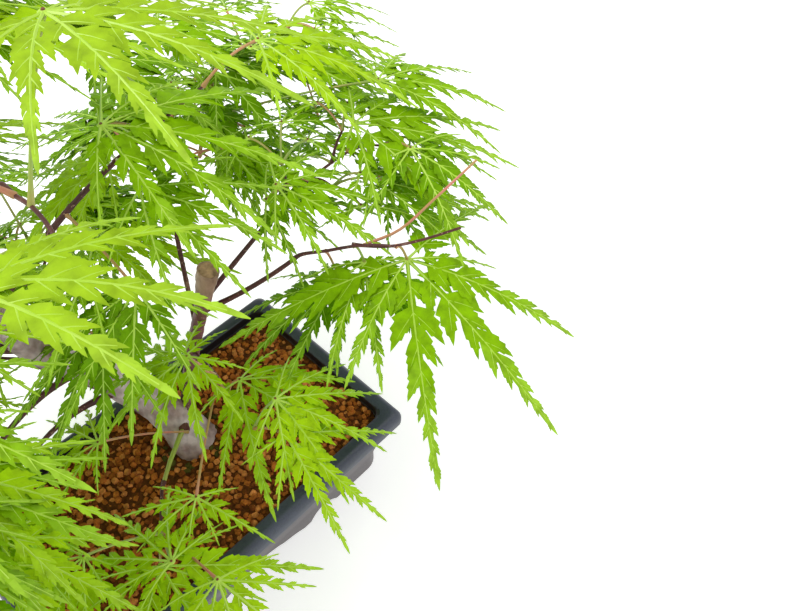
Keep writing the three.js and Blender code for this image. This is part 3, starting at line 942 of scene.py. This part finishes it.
def grow_finer(shoots, leaves, room):
    """Side twigs, small leaves and back leaves. The leaves that show clearly get all their lobes."""
    twigs = add_twigs(shoots, leaves, room)
    leaves += back_leaves(growth_nodes(shoots))
    for leaf in leaves:
        if leaf["set"]:
            leaf["lobes"] = ALL_LOBES
            leaf["node"] = STALK_ROOTS.get(leaf["set"], leaf["node"])
    return twigs + [BARE_TWIG, REAR_TWIG]


# Leaf blades

# A leaflet's vein, and its margins as places along and across it, in shares of its own length. The outer
# margin starts at the lobe's spine behind the leaflet, and each step back in is the cut behind a tooth.
VEIN = (0.0, 0.36, 0.68, 1.0)
BASAL_MARGIN = ((-0.25, 0.1), (0.0, 0.18), (0.22, 0.28), (0.39, 0.34), (0.42, 0.24), (0.61, 0.25),
                (0.64, 0.16), (0.79, 0.14), (0.82, 0.08), (0.92, 0.04))
FIN_MARGIN = ((-0.72, 0.4), (-0.35, 0.34), (0.1, 0.33), (0.4, 0.3), (0.43, 0.21), (0.64, 0.2), (0.67, 0.12),
              (0.84, 0.08))
INNER_MARGIN = ((0.1, -0.04), (0.32, -0.11), (0.47, -0.15), (0.5, -0.1), (0.67, -0.12), (0.7, -0.07),
                (0.86, -0.04))
FOLD = 0.28
SAG = 0.16
FORWARD_CURVE = 0.07
BLADE_THICKNESS = 0.3

# Leaflets along a lobe: share of the lobe, side, share of its length and angle from it
LEAFLETS = (
    (0.14, 1, 0.2, 47), (0.165, -1, 0.2, 45), (0.27, 1, 0.22, 41), (0.3, -1, 0.21, 40),
    (0.4, 1, 0.18, 35), (0.43, -1, 0.17, 35), (0.53, 1, 0.15, 33), (0.56, -1, 0.14, 33),
    (0.65, 1, 0.125, 31), (0.68, -1, 0.115, 31), (0.75, 1, 0.1, 30), (0.78, -1, 0.09, 30),
    (0.84, 1, 0.075, 28), (0.87, -1, 0.065, 28), (0.92, 1, 0.05, 26), (0.945, -1, 0.04, 26),
)
SHORT_LEAFLETS = (
    (0.2, 1, 0.21, 42), (0.23, -1, 0.2, 42), (0.37, 1, 0.19, 36), (0.41, -1, 0.18, 36),
    (0.55, 1, 0.155, 33), (0.59, -1, 0.14, 33), (0.7, 1, 0.115, 31), (0.74, -1, 0.1, 31),
    (0.83, 1, 0.075, 28), (0.88, -1, 0.06, 28),
)
BASAL_TO = 0.34
SHORT_LOBE = 36.0
RIB_FROM = 4.2
YOUNG_SHARE = 0.85

# Half the width of a lobe's rib and of a leaflet's, how much a rib narrows, and its height by its half width
MAIN_RIB = 0.42
FINE_RIB = 0.2
RIB_TAPER = 0.75
RIB_HEIGHT = 0.7

# Half the blade's width along a lobe, as a share of the lobe's length
BLADE_STATIONS = ((0.0, 0.011), (0.08, 0.009), (0.13, 0.012), (0.2, 0.019), (0.3, 0.021), (0.42, 0.02),
                  (0.55, 0.018), (0.68, 0.016), (0.78, 0.014), (0.87, 0.013), (0.93, 0.013), (0.97, 0.01),
                  (1.0, 0.002))
BLADE_FOLD = 0.12

# Where a lobe turns paler, and by how much it then leans to the tip colour
TINT_STARTS = (0.62, 0.76, 0.88)
TINT_LEANS = (0.0, 0.2, 0.42, 0.65)
TIP_COLOUR = srgb(168, 208, 66)


def sheet_faces(vein, vein_shares, rim, rim_shares):
    """Triangles between the vein and one margin, in step along the leaflet."""
    faces = []
    i = j = 0
    while i < len(vein) - 1 or j < len(rim) - 1:
        on_rim = j < len(rim) - 1 and (i == len(vein) - 1 or rim_shares[j + 1] <= vein_shares[i + 1])
        if on_rim:
            faces.append((vein[i], rim[j + 1], rim[j]))
            j += 1
        else:
            faces.append((vein[i], vein[i + 1], rim[j]))
            i += 1
    return faces


def leaflet_shape(outer, inner):
    """A leaflet as a thin lens: its corners along, across, above and lifted by its fold, and its faces."""
    corners = [(share, 0.0, 0.5, 0.0) for share in VEIN[:-1]]
    under_root, tip = len(corners), len(corners) + 1
    corners += [(0.0, 0.0, -0.5, 0.0), (1.0, 0.0, 0.0, 0.0)]
    for margin in (outer, inner):
        corners += [(along, across, 0.0, FOLD * abs(across) * min(1.0, max(0.0, along + 0.4)))
                    for along, across in margin]
    inner_start = tip + 1 + len(outer)
    rims = ((list(range(tip + 1, inner_start)), outer), (list(range(inner_start, len(corners))), inner))
    faces = [(under_root, 0, tip + 1), (0, under_root, inner_start)]
    sides = (([*range(under_root), tip], VEIN, False), ([under_root, tip], (0.0, 1.0), True))
    for vein, shares, below in sides:
        for (rim, margin), mirrored in zip(rims, (False, True)):
            sheet = sheet_faces(vein, shares, rim, [along for along, _ in margin])
            faces += [face[::-1] for face in sheet] if below != mirrored else sheet
    return np.array(corners), faces


BASAL_LEAFLET = leaflet_shape(BASAL_MARGIN, INNER_MARGIN)
FIN_LEAFLET = leaflet_shape(FIN_MARGIN, INNER_MARGIN)


class Lobe:
    """One lobe's spine, and its directions at any share of it."""

    def __init__(self, leaf, index, draw):
        self.centre = leaf["centre"]
        turns, shares = LOBE_SETS[leaf["set"]]
        self.out = lobe_direction(leaf, turns[index])
        self.length = leaf["span"] * shares[index]
        self.side = unit(np.cross(self.out, UP))
        self.sway = draw(-0.09, 0.09)
        self.twist = math.radians(draw(-14, 14))
        self.droop = LOBE_DROOP + draw(-0.03, 0.05)

    def at(self, share):
        """A point on the spine."""
        bend = share * share * self.length
        return (self.centre + self.out * self.length * share
                + self.side * self.sway * bend - UP * self.droop * bend)

    def axes(self, share):
        """Forward along the spine, to its right, and square to the blade."""
        forward = unit(self.at(share + 0.01) - self.at(share - 0.01))
        right = unit(np.cross(forward, UP))
        above = np.cross(right, forward)
        turn = self.twist * share
        right, above = (right * math.cos(turn) + above * math.sin(turn),
                        above * math.cos(turn) - right * math.sin(turn))
        return forward, right, above


def tint_at(share):
    """Which of its leaf's paints a lobe takes at a share of its length: it pales towards the tip."""
    return sum(share > start for start in TINT_STARTS)


def add_blade(shells, lobe):
    """The narrow blade along a lobe's spine, folded up a little on both sides."""
    points = []
    for share, width in BLADE_STATIONS:
        _, right, above = lobe.axes(share)
        spine = lobe.at(share)
        half = width * lobe.length
        thick = above * min(BLADE_THICKNESS, half) * 0.5
        raised = above * half * BLADE_FOLD
        left, right = spine - right * half + raised, spine + right * half + raised
        points += [left, spine + thick, right, spine - thick]
    faces = [(0, 3, 2, 1)]
    tints = [0]
    for station, (share, _) in enumerate(BLADE_STATIONS[:-1]):
        left = 4 * station
        top, right, under = left + 1, left + 2, left + 3
        faces += [(left, top, top + 4, left + 4), (top, right, right + 4, top + 4),
                  (under, left, left + 4, under + 4), (right, under, under + 4, right + 4)]
        tints += [tint_at(share)] * 4
    last = len(points) - 4
    faces.append((last, last + 1, last + 2, last + 3))
    shells.add(points, faces, [*tints, tint_at(1.0)])


def add_leaflet(blades, ribs, lobe, share, side, size, angle):
    """A toothed leaflet and its pale rib."""
    forward, right, above = lobe.axes(share)
    turn = math.radians(angle)
    along = forward * math.cos(turn) + right * side * math.sin(turn)
    across = right * side * math.cos(turn) - forward * math.sin(turn)
    length = size * lobe.length
    root = lobe.at(share) - along * 0.3
    corners, faces = BASAL_LEAFLET if share < BASAL_TO else FIN_LEAFLET
    u, v, w, fold = corners.T
    lift = w * BLADE_THICKNESS + length * (fold - SAG * u * u)
    aside = (v - FORWARD_CURVE * u * u) * length
    points = root + np.outer(u * length, along) + np.outer(aside, across) + np.outer(lift, above)
    tint = tint_at(share + size / 2)
    blades.add(points, [face[::-1] for face in faces] if side > 0 else faces, tint)
    if length > RIB_FROM:
        start = lobe.at(share) + above * BLADE_THICKNESS * 0.5
        add_rib(ribs, [start, points[1], points[2]], across * side, above, FINE_RIB)


def add_rib(ribs, line, right, above, half):
    """A pale rib that stands a little proud of the blade and runs out towards its end."""
    points = []
    for index, point in enumerate(line):
        width = half * (1 - RIB_TAPER * index / (len(line) - 1))
        points += [point + above * width * RIB_HEIGHT, point + right * width, point - right * width]
    ribs.add(points, tube_faces(len(line), 3))


def add_lobe(blades, ribs, leaf, index, draw):
    """A lobe: its blade, its leaflets in turn on both sides, and its ribs."""
    lobe = Lobe(leaf, index, draw)
    add_blade(blades, lobe)
    first = 1 if draw(0, 1) > 0.5 else -1
    grown = YOUNG_SHARE if leaf["kind"] == "young" else 1.0
    leaflets = LEAFLETS if lobe.length > SHORT_LOBE else SHORT_LEAFLETS
    for share, side, size, angle in leaflets:
        add_leaflet(blades, ribs, lobe, share + draw(-0.015, 0.015), side * first,
                    size * draw(0.8, 1.12) * grown, angle + draw(-5, 5))
    shares = np.linspace(0.0, 0.92, 9)
    line = [lobe.at(share) + lobe.axes(share)[2] * BLADE_THICKNESS * 0.45 for share in shares]
    _, right, above = lobe.axes(0.5)
    add_rib(ribs, line, right, above, MAIN_RIB)


# Leaf kinds: the fresh front leaves, the crown's middle green, the deeper green behind and the young tips
LEAF_COLOURS = {
    "fresh": srgb(156, 198, 8),
    "mid": srgb(128, 176, 0),
    "deep": srgb(108, 156, 0),
    "young": srgb(148, 184, 30),
}
# Stalks: their arch, their radius, and how much wider they are at the twig and at the leaf
STALK_ARCH = 4.5
STALK_THIN = 0.43
STALK_GRIP = 0.4
STALK_NECK = 0.2
# The boss where the lobes meet, and the dot on it: heights over the leaf's centre, and radii there
HUB = ((-0.6, 0.15, 0.55), (0.5, 1.25, 0.7))
DOT = ((0.4, 0.8), (0.55, 0.35))
# Leaves are dealt into halves, so that each piece stays small
HALVES = ("a", "b")
# Which kinds a mass bears, in turn
MASS_KINDS = {
    "top_front": ("young",),
    "front_low": ("fresh",),
    "front_right": ("fresh",),
    "right_front": ("mid", "deep", "mid", "deep"),
    "right": ("mid", "mid", "deep"),
    "right_rear": ("mid", "deep"),
    "upper_right": ("mid", "fresh", "deep"),
    "front_left": ("fresh", "fresh", "mid"),
    "left_low": ("fresh", "fresh", "mid"),
}
COMMON_KINDS = ("mid", "fresh", "mid", "deep", "mid", "fresh", "deep")


def deal_kinds(leaves):
    """Each leaf gets its kind by its mass and its turn in it."""
    turns = {}
    for leaf in leaves:
        turn = turns.get(leaf["mass"], 0)
        turns[leaf["mass"]] = turn + 1
        kinds = MASS_KINDS.get(leaf["mass"], COMMON_KINDS)
        leaf["kind"] = kinds[turn % len(kinds)]


def stalk_line(leaf, steps=9):
    """A stalk rises from its twig and bends over to the leaf."""
    start, end = leaf["node"], leaf["centre"]
    middle = (start + end) / 2 + UP * STALK_ARCH
    line = []
    for i in range(steps + 1):
        t = i / steps
        line.append((1 - t) ** 2 * start + 2 * t * (1 - t) * middle + t * t * end)
    return line


def add_stalk(shells, leaf):
    """A thin stalk, swollen where it grips its twig and just under the leaf."""
    line = stalk_line(leaf)
    last = len(line) - 1
    radii = [STALK_THIN + STALK_GRIP * math.exp(-i * 1.6) + STALK_NECK * math.exp(-(last - i) * 2.0)
             for i in range(last + 1)]
    add_tube(shells, line, radii, 6)


def add_hub(ribs, dots, leaf):
    """The pale boss where the lobes meet, with a red-brown dot on it."""
    for shells, (heights, radii), sides in ((ribs, HUB, 8), (dots, DOT, 6)):
        add_tube(shells, [leaf["centre"] + UP * height for height in heights], radii, sides)


def dress_leaves(leaves):
    """All blades by kind and half, the ribs by half, and the stalks in pink and green."""
    blades = {(kind, half): Shells() for kind in LEAF_COLOURS for half in HALVES}
    deal_kinds(leaves)
    ribs, dots = {half: Shells() for half in HALVES}, Shells()
    stalks = {"pink": Shells(), "green": Shells()}
    for number, leaf in enumerate(leaves):
        draw = random.Random(number).uniform
        half = HALVES[number % len(HALVES)]
        for index in leaf["lobes"]:
            add_lobe(blades[leaf["kind"], half], ribs[half], leaf, index, draw)
        add_hub(ribs[half], dots, leaf)
        add_stalk(stalks["pink" if leaf["set"] or draw(0, 1) < 0.5 else "green"], leaf)
    add_tube(stalks["pink"], Curve(BARE_STALK).spaced(BARE_STALK_STEPS), BARE_STALK_RADII, 6)
    return blades, ribs, dots, stalks


# Limbs

# The source's limbs are a little stouter than the real ones
SLENDER = 0.75
BOUGH_TIP = BOUGH_TIP_RADIUS * SLENDER
SHOOT_ROOT = TWIG_RADIUS * SLENDER
TRUNK_STEPS = 230
STEM_STEPS = 90
LIMB_STEP = 1.2
TWIG_ROOT = 0.55
TWIG_TIP = 0.4
GREEN_BOUGH = next(sizes for sizes in BOUGHS if sizes[0] == "front_low")
# Where the green shoot leaves the trunk, and the scar round it
GREEN_START = (place(8.2, 9.2, 42), place(4.6, 5.4, 45.6), place(0, 1.8, 46.6))
BUD_SCAR = (place(8.6, 10, 41), place(7.2, 7.4, 45.4))
SCAR_RADII = (2.0, 2.7, 2.3, 1.3)
# Healed knots on the trunk, each with its spread, and how far they stand out
KNOTS = ((place(2, 6, 40), 4.0), (place(14, 2, 36), 4.0),
         (place(-2, 14, 62), 3.0), (place(-14, 33, 92), 2.4))
KNOT_SWELL = 0.22
FISSURE_STRETCH = np.array([1, 1, 0.35])


def draw_out(mesh, rings):
    """A closed form in a bmesh: a disc, drawn out from ring to ring."""
    made = bmesh.ops.create_circle(mesh, cap_ends=True, segments=len(rings[0]), radius=1.0)
    face = made["verts"][0].link_faces[0]
    foot = list(face.edges)
    for index, ring in enumerate(rings):
        if index:
            face = bmesh.ops.extrude_discrete_faces(mesh, faces=[face])["faces"][0]
        for vert, point in zip(face.verts, ring):
            vert.co = to_row(point)
    bmesh.ops.holes_fill(mesh, edges=foot, sides=len(foot))


def drawn_piece(name, forms, crease):
    """Closed forms, each a list of rings, as one object with outward faces."""
    mesh = bmesh.new()
    for rings in forms:
        draw_out(mesh, rings)
    bmesh.ops.recalc_face_normals(mesh, faces=mesh.faces)
    return smooth_up_to(new_object(name, mesh), crease)


def roughness_at(point, scale, seed=0.0):
    """Smooth noise between -1 and 1, whose grains are scale millimetres wide."""
    return noise.noise(Vector(point) / scale + Vector((seed, seed * 2, 0.0)))


def relieved(rings, path, swell_at):
    """Rings whose points are moved out or in from the path that they surround."""
    return [[centre + (point - centre) * swell_at(point) for point in ring]
            for ring, centre in zip(rings, path)]


def trunk_swell(point):
    """How far the trunk swells at a point, by its shallow flutes, its fissures and its knots."""
    swell = 1 + 0.11 * roughness_at(point, 13) + 0.04 * roughness_at(point, 5, 3.1)
    fissure = abs(roughness_at(point * FISSURE_STRETCH, 1.7, 7.7))
    swell -= 0.05 * (1 - min(1.0, fissure * 5))
    for knot, spread in KNOTS:
        swell += KNOT_SWELL * math.exp(-(distance(point, knot) / spread) ** 2)
    return swell


def stem_swell(point):
    """How far the second stem swells at a point."""
    return 1 + 0.09 * roughness_at(point, 3.2, 5.0)


def trunk_piece():
    """The old trunk, from its swollen foot to its top."""
    path = CURVES["trunk"].spaced(TRUNK_STEPS)
    rings = rings_along(path, 72, trunk_radius)
    return drawn_piece("trunk_bark", [relieved(rings, path, trunk_swell)], 60.0)


def stem_piece():
    """The second stem, drawn in to its old cut."""
    path = CURVES["second_stem"].spaced(STEM_STEPS)
    rings = rings_along(path, 28, lambda share, angle: stem_radius(share))
    return drawn_piece("second_stem_bark", [relieved(rings, path, stem_swell)], 50.0)


def cut_piece():
    """The pale face of the old cut on the second stem."""
    before, top = CURVES["second_stem"].spaced(STEM_STEPS)[-2:]
    line = [top + unit(top - before) * rise for rise in (-0.4, 0.12, 0.22)]
    radii = [stem_radius(1.0) * share for share in (0.86, 0.84, 0.6)]
    return drawn_piece("second_stem_cut", [rings_along(line, 24, listed(radii))], 38.0)


def scar_piece():
    """The brown bud scar that the green shoot grows from, low on the trunk."""
    inner, outer = BUD_SCAR
    line = [inner + (outer - inner) * step / 3 for step in range(4)]
    even = listed(SCAR_RADII)
    rings = rings_along(line, 20, lambda share, angle: even(share, angle) * (1 + 0.12 * math.sin(3 * angle)))
    return drawn_piece("bud_scar", [rings], 60.0)


def twig_radius(base, tip, length):
    """A young limb's radius: a collar at its root, an even taper and a faint ring at each node."""
    def radius(share, angle):
        collar = 0.55 * base * math.exp(-share * length / 2.5)
        rings = 0.05 * base * math.exp(-((share * length) % 9.0) ** 2)
        return base + (tip - base) * share + collar + rings + 0.02 * base * math.sin(2 * angle + 5 * share)
    return radius


def limb_rings(path, base, tip, sides=12):
    """A young limb along a path, as rings in fine steps."""
    length = sum(distance(a, b) for a, b in zip(path, path[1:]))
    steps = max(6, int(length / LIMB_STEP))
    return rings_along(Curve(path).spaced(steps), sides, twig_radius(base, tip, length))


def green_shoot_piece():
    """The low green shoot, from its bud scar to its bough's tip."""
    path = [*GREEN_START, *bough_path(GREEN_BOUGH, 8)[5:]]
    return drawn_piece("green_shoot", [limb_rings(path, GREEN_BOUGH[-1] * 0.85, BOUGH_TIP)], 50.0)


def boughs_piece(boughs):
    """Boughs, each from inside its parent to its tip."""
    limbs = [limb_rings(bough_path(sizes, 8), sizes[-1] * SLENDER, BOUGH_TIP) for sizes in boughs]
    return drawn_piece("boughs_bark", limbs, 50.0)


def shoots_piece(shoots, twigs):
    """The shoots go on from the boughs' tips, and the side twigs from the shoots."""
    limbs = [limb_rings(path, TWIG_ROOT, TWIG_TIP, 6) for path in twigs]
    for shoot in shoots.values():
        start = shoot[0] - unit(shoot[1] - shoot[0]) * 1.5
        limbs.append(limb_rings([start, *shoot[1:]], SHOOT_ROOT, SHOOT_ROOT * 0.7, 8))
    return drawn_piece("shoots_bark", limbs, 50.0)


# Pot and soil

POT_LENGTH = 156.0
POT_WIDTH = 94.0
POT_RIM = 35.0
INNER_INSET = 6.7
LIP_FOOT = 25.6
BELOW_LIP = 2
FOOT_INSET = 7.5
ARCH_HALF_LONG = POT_LENGTH / 2 - FOOT_INSET - 10
ARCH_HALF_SHORT = POT_WIDTH / 2 - FOOT_INSET - 8
WAVES = ((0.30, 0.54, 5.0), (0.62, 1.38, 5.2), (0.80, 1.20, 2.2))
CORNER_STEPS = 10
LONG_STEPS = 96
SHORT_STEPS = 58

# The pot's section from under its floor, round the rim and down to its inner floor: inset, corner
# radius, height, and how far the height follows the apron's wavy edge
POT_SECTION = (
    (12.5, 5.0, 3.0, 0), (12.5, 5.0, GROUND + 0.35, 1), (12.1, 5.2, GROUND, 1), (8.1, 7.6, GROUND, 1),
    (7.6, 7.9, GROUND + 0.25, 1), (7.5, 8.0, GROUND + 0.7, 1), (7.45, 8.0, 3.0, 0), (7.0, 7.7, 6.0, 0),
    (6.4, 7.3, 9.0, 0), (6.0, 7.0, 12.0, 0), (5.4, 6.5, 18.0, 0), (4.95, 6.1, 23.5, 0),
    (4.6, 6.0, 24.7, 0), (3.4, 5.4, 25.4, 0), (1.4, 4.2, 25.7, 0), (0.5, 3.4, 26.1, 0),
    (0.1, 3.0, 26.9, 0), (0.0, 3.0, 28.2, 0), (0.0, 3.0, 30.6, 0), (0.15, 3.0, 31.6, 0),
    (0.55, 3.1, 32.6, 0), (1.1, 3.3, 33.6, 0), (1.8, 3.6, 34.4, 0), (2.5, 4.0, 34.85, 0),
    (3.2, 4.2, 35.0, 0), (4.6, 4.6, 34.95, 0), (5.8, 4.9, 34.85, 0), (6.4, 5.0, 34.65, 0),
    (6.85, 5.0, 34.2, 0), (7.0, 5.0, 33.4, 0), (7.1, 5.0, 30.5, 0), (8.25, 5.0, 20.0, 0),
    (9.4, 5.0, 9.6, 0), (9.9, 5.0, 9.0, 0),
)


def apron_height(share):
    """The apron's lower edge above the ground, at a share of the way from pot corner to middle."""
    height = 0.0
    for low, high, rise in WAVES:
        along = (share - low) / (high - low)
        if 0 < along < 1:
            height += rise * math.sin(math.pi * along) ** 0.7
    return height


def wave_at(x, y, amount):
    """The apron's height at a point of the pot's outline."""
    half_length = POT_LENGTH / 2 - amount
    half_width = POT_WIDTH / 2 - amount
    if abs(abs(y) - half_width) < 0.01:
        return apron_height(1 - min(1.0, abs(x) / ARCH_HALF_LONG))
    if abs(abs(x) - half_length) < 0.01:
        return apron_height(1 - min(1.0, abs(y) / ARCH_HALF_SHORT))
    return 0.0


def outline(amount, radius):
    """The pot's rounded outline, drawn in by an amount, with even steps on each side."""
    half_x = POT_LENGTH / 2 - amount - radius
    half_y = POT_WIDTH / 2 - amount - radius
    arcs = []
    for corner, (sign_x, sign_y) in enumerate(((1, 1), (-1, 1), (-1, -1), (1, -1))):
        angles = [(corner + step / CORNER_STEPS) * math.pi / 2 for step in range(CORNER_STEPS + 1)]
        arcs.append([np.array([sign_x * half_x + radius * math.cos(angle),
                               sign_y * half_y + radius * math.sin(angle)]) for angle in angles])
    points = []
    for corner, arc in enumerate(arcs):
        start, end = arc[-1], arcs[(corner + 1) % 4][0]
        steps = SHORT_STEPS if corner % 2 else LONG_STEPS
        points += arc[:-1]
        points += [start + (end - start) * (step / steps) for step in range(steps)]
    return points


def pot_ring(amount, radius, height, follows):
    """One ring of the pot's section, a little uneven."""
    ring = []
    for x, y in outline(amount, radius):
        z = height + (wave_at(x, y, amount) if follows else 0.0)
        uneven = 0.12 * roughness_at((x, y, z), 18)
        ring.append((x, y, min(POT_RIM, max(GROUND, z + uneven))))
    return ring


def pot_piece():
    """The pot as one closed wall, with paints of its own inside and below the lip. The near-black slate
    inside is painted shade and damp together.
    """
    made = drawn_piece("pot_stoneware", [[pot_ring(*row) for row in POT_SECTION]], 32.0)
    for face in made.data.polygons:
        x, y, z = np.array(face.center) / MM - SHIFT
        inside = abs(x) < POT_LENGTH / 2 - INNER_INSET and abs(y) < POT_WIDTH / 2 - INNER_INSET
        # Faces inside the rim take the near-black slate of painted shade and damp
        face.material_index = BELOW_LIP if z < LIP_FOOT else int(inside)
    return made


SOIL_HALF_LENGTH = POT_LENGTH / 2 - 7.3
SOIL_HALF_WIDTH = POT_WIDTH / 2 - 7.3
SOIL_CORNER = 5.0
TRUNK_SPOT = (9.5, 10)
TRUNK_CLEAR = 9
MOSS_REACH = 16
GRAIN_STEP = 2.55
# Layers of grains: spacing and size against the first layer, height over it, and the share left out
GRAIN_LAYERS = ((1.0, 1.0, 0.0, 0.0), (1.35, 0.9, 1.25, 0.45))
GRAIN_KINDS = {
    "grains_mid": srgb(178, 102, 42),
    "grains_light": srgb(206, 130, 70),
    "grains_dark": srgb(122, 66, 24),
    "grains_mossy": srgb(84, 76, 30),
}


def grain_shapes(count=8):
    """A few angular rounded grains: cubes cut finer, drawn towards a ball and knocked about."""
    shapes = []
    for number in range(count):
        draw = seeded_random(500 + number)
        mesh = bmesh.new()
        bmesh.ops.create_cube(mesh, size=2.0)
        bmesh.ops.subdivide_edges(mesh, edges=mesh.edges[:], cuts=1, use_grid_fill=True)
        for vert in mesh.verts:
            ball = vert.co.normalized()
            vert.co = (vert.co * 0.25 + ball * 0.75) * draw(0.84, 1.12)
        points = np.array([vert.co[:] for vert in mesh.verts])
        mesh.verts.index_update()
        faces = [tuple(vert.index for vert in face.verts) for face in mesh.faces]
        mesh.free()
        shapes.append((points, faces))
    return shapes


def soil_height(x, y):
    """The soil's surface: uneven, and lower towards the walls."""
    edge = min(SOIL_HALF_LENGTH - abs(x), SOIL_HALF_WIDTH - abs(y))
    fall = 0.5 * max(0.0, 1 - edge / 10)
    return SOIL_TOP - fall - 0.5 + 0.7 * roughness_at((x, y, 0), 12, 2.0)


def inside_wall(x, y, margin):
    """The point lies within the pot's inner wall."""
    half_x, half_y = SOIL_HALF_LENGTH - margin, SOIL_HALF_WIDTH - margin
    over_x, over_y = abs(x) - (half_x - SOIL_CORNER), abs(y) - (half_y - SOIL_CORNER)
    if over_x > 0 and over_y > 0:
        return math.hypot(over_x, over_y) < SOIL_CORNER
    return abs(x) < half_x and abs(y) < half_y


def grain_kind(pick, from_trunk):
    """Which kind a grain is. Moss grows only near the trunk."""
    if from_trunk < MOSS_REACH and pick > 0.6:
        return "grains_mossy"
    return "grains_light" if pick < 0.3 else "grains_mid" if pick < 0.78 else "grains_dark"


def scatter_grains():
    """Grains in two layers over the soil, dealt out by kind."""
    shapes = grain_shapes()
    kinds = {name: Shells() for name in GRAIN_KINDS}
    draw = seeded_random(77)
    for spacing, size, lift, bare in GRAIN_LAYERS:
        step = GRAIN_STEP * spacing
        for x0, y0 in product(np.arange(-72, 72, step), np.arange(-42, 42, step)):
            x, y = x0 + draw(-0.9, 0.9), y0 + draw(-0.9, 0.9)
            radius = draw(1.05, 1.7) * size
            skip = bare and draw(0, 1) < bare
            spin, tilt = draw(0, 2 * math.pi), draw(-0.6, 0.6)
            pick, shape = draw(0, 1), int(draw(0, len(shapes) - 0.01))
            from_trunk = math.hypot(x - TRUNK_SPOT[0], y - TRUNK_SPOT[1])
            if skip or not inside_wall(x, y, radius + 0.1) or from_trunk < TRUNK_CLEAR:
                continue
            turn = Matrix.Rotation(spin, 3, "Z") @ Matrix.Rotation(tilt, 3, "X")
            points, faces = shapes[shape]
            sides = np.array([radius, radius * draw(0.75, 1.0), radius * draw(0.7, 0.95)])
            spot = place(x, y, soil_height(x, y) + lift)
            kinds[grain_kind(pick, from_trunk)].add((points * sides) @ np.array(turn).T + spot, faces)
    return kinds


# Assembly

FOLIAGE = [f"foliage_{sizes[0]}" for sizes in MASSES]


def add_pot_and_soil():
    """Pot, soil bed and grains."""
    pot = finish_piece(pot_piece(), slate_paint("slate_stoneware", srgb(56, 62, 76)), ["pot"])
    # Near-black slate inside the pot: painted shade on the inner wall, together with damp
    pot.data.materials.append(slate_paint("slate_damp_and_shade", srgb(24, 26, 32)))
    # A lighter, browner grey for the wall below the lip
    pot.data.materials.append(slate_paint("slate_below_lip", srgb(88, 82, 84)))
    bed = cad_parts["soil"].data.materials
    bed.clear()
    bed.append(clay_paint("soil_bed", srgb(92, 50, 20)))
    for name, shells in scatter_grains().items():
        finish_piece(shells.to_object(name, 34.0), clay_paint(name, GRAIN_KINDS[name]), [])


def add_limbs(shoots, twigs):
    """Trunk, second stem, boughs, shoots and twigs."""
    bark = young_bark_paint("bark_young", srgb(96, 52, 50), srgb(150, 116, 100))
    stem = stem_paint("stem_bark", srgb(126, 82, 80), srgb(168, 140, 128))
    cut = clay_paint("cut_wood", srgb(168, 136, 104))
    green = stalk_paint("bark_green", srgb(150, 176, 58), srgb(170, 178, 84))
    scar = young_bark_paint("bark_scar", srgb(92, 50, 42), srgb(130, 92, 76))
    woody = [sizes for sizes in BOUGHS if sizes is not GREEN_BOUGH]
    finish_piece(trunk_piece(), bark_paint(), ["trunk"])
    finish_piece(stem_piece(), stem, ["second_stem"])
    finish_piece(cut_piece(), cut, [])
    finish_piece(green_shoot_piece(), green, ["bough_front_low"])
    finish_piece(scar_piece(), scar, [])
    finish_piece(boughs_piece(woody), bark, [f"bough_{sizes[0]}" for sizes in woody])
    finish_piece(shoots_piece(shoots, twigs), bark, FOLIAGE)


def tinted_paints(kind, colour):
    """A leaf kind's own paint, and the paler ones of its lobes' tips."""
    paints = []
    for number, lean in enumerate(TINT_LEANS):
        mixed = tuple(own + (tip - own) * lean for own, tip in zip(colour, TIP_COLOUR))
        paints.append(leaf_paint(f"leaf_{kind}_{number}", mixed))
    return paints


def add_leaves(leaves):
    """Blades, ribs, stalks and dots, each kind apart."""
    blades, ribs, dots, stalks = dress_leaves(leaves)
    paints = {kind: tinted_paints(kind, colour) for kind, colour in LEAF_COLOURS.items()}
    for (kind, half), shells in blades.items():
        first, *others = paints[kind]
        piece = finish_piece(shells.to_object(f"leaves_{kind}_{half}", 40.0), first, FOLIAGE)
        for paint in others:
            piece.data.materials.append(paint)
    rib = stalk_paint("leaf_rib", srgb(172, 212, 60), srgb(184, 218, 84))
    dot = stalk_paint("leaf_dot", srgb(130, 84, 44), srgb(112, 62, 40))
    pink = stalk_paint("stalk_pink", srgb(204, 128, 108), srgb(176, 150, 84))
    green = stalk_paint("stalk_green", srgb(150, 182, 80), srgb(176, 168, 92))
    plain = [(f"leaf_ribs_{half}", shells, 60.0, rib) for half, shells in ribs.items()]
    plain += [("leaf_dots", dots, 40.0, dot), ("stalks_pink", stalks["pink"], 60.0, pink),
              ("stalks_green", stalks["green"], 60.0, green)]
    for name, shells, crease, paint in plain:
        finish_piece(shells.to_object(name, crease), paint, FOLIAGE)


add_camera()
add_studio()
SHOOTS, LEAVES, ROOM = grow()
TWIGS = grow_finer(SHOOTS, LEAVES, ROOM)
add_pot_and_soil()
add_limbs(SHOOTS, TWIGS)
add_leaves(LEAVES)
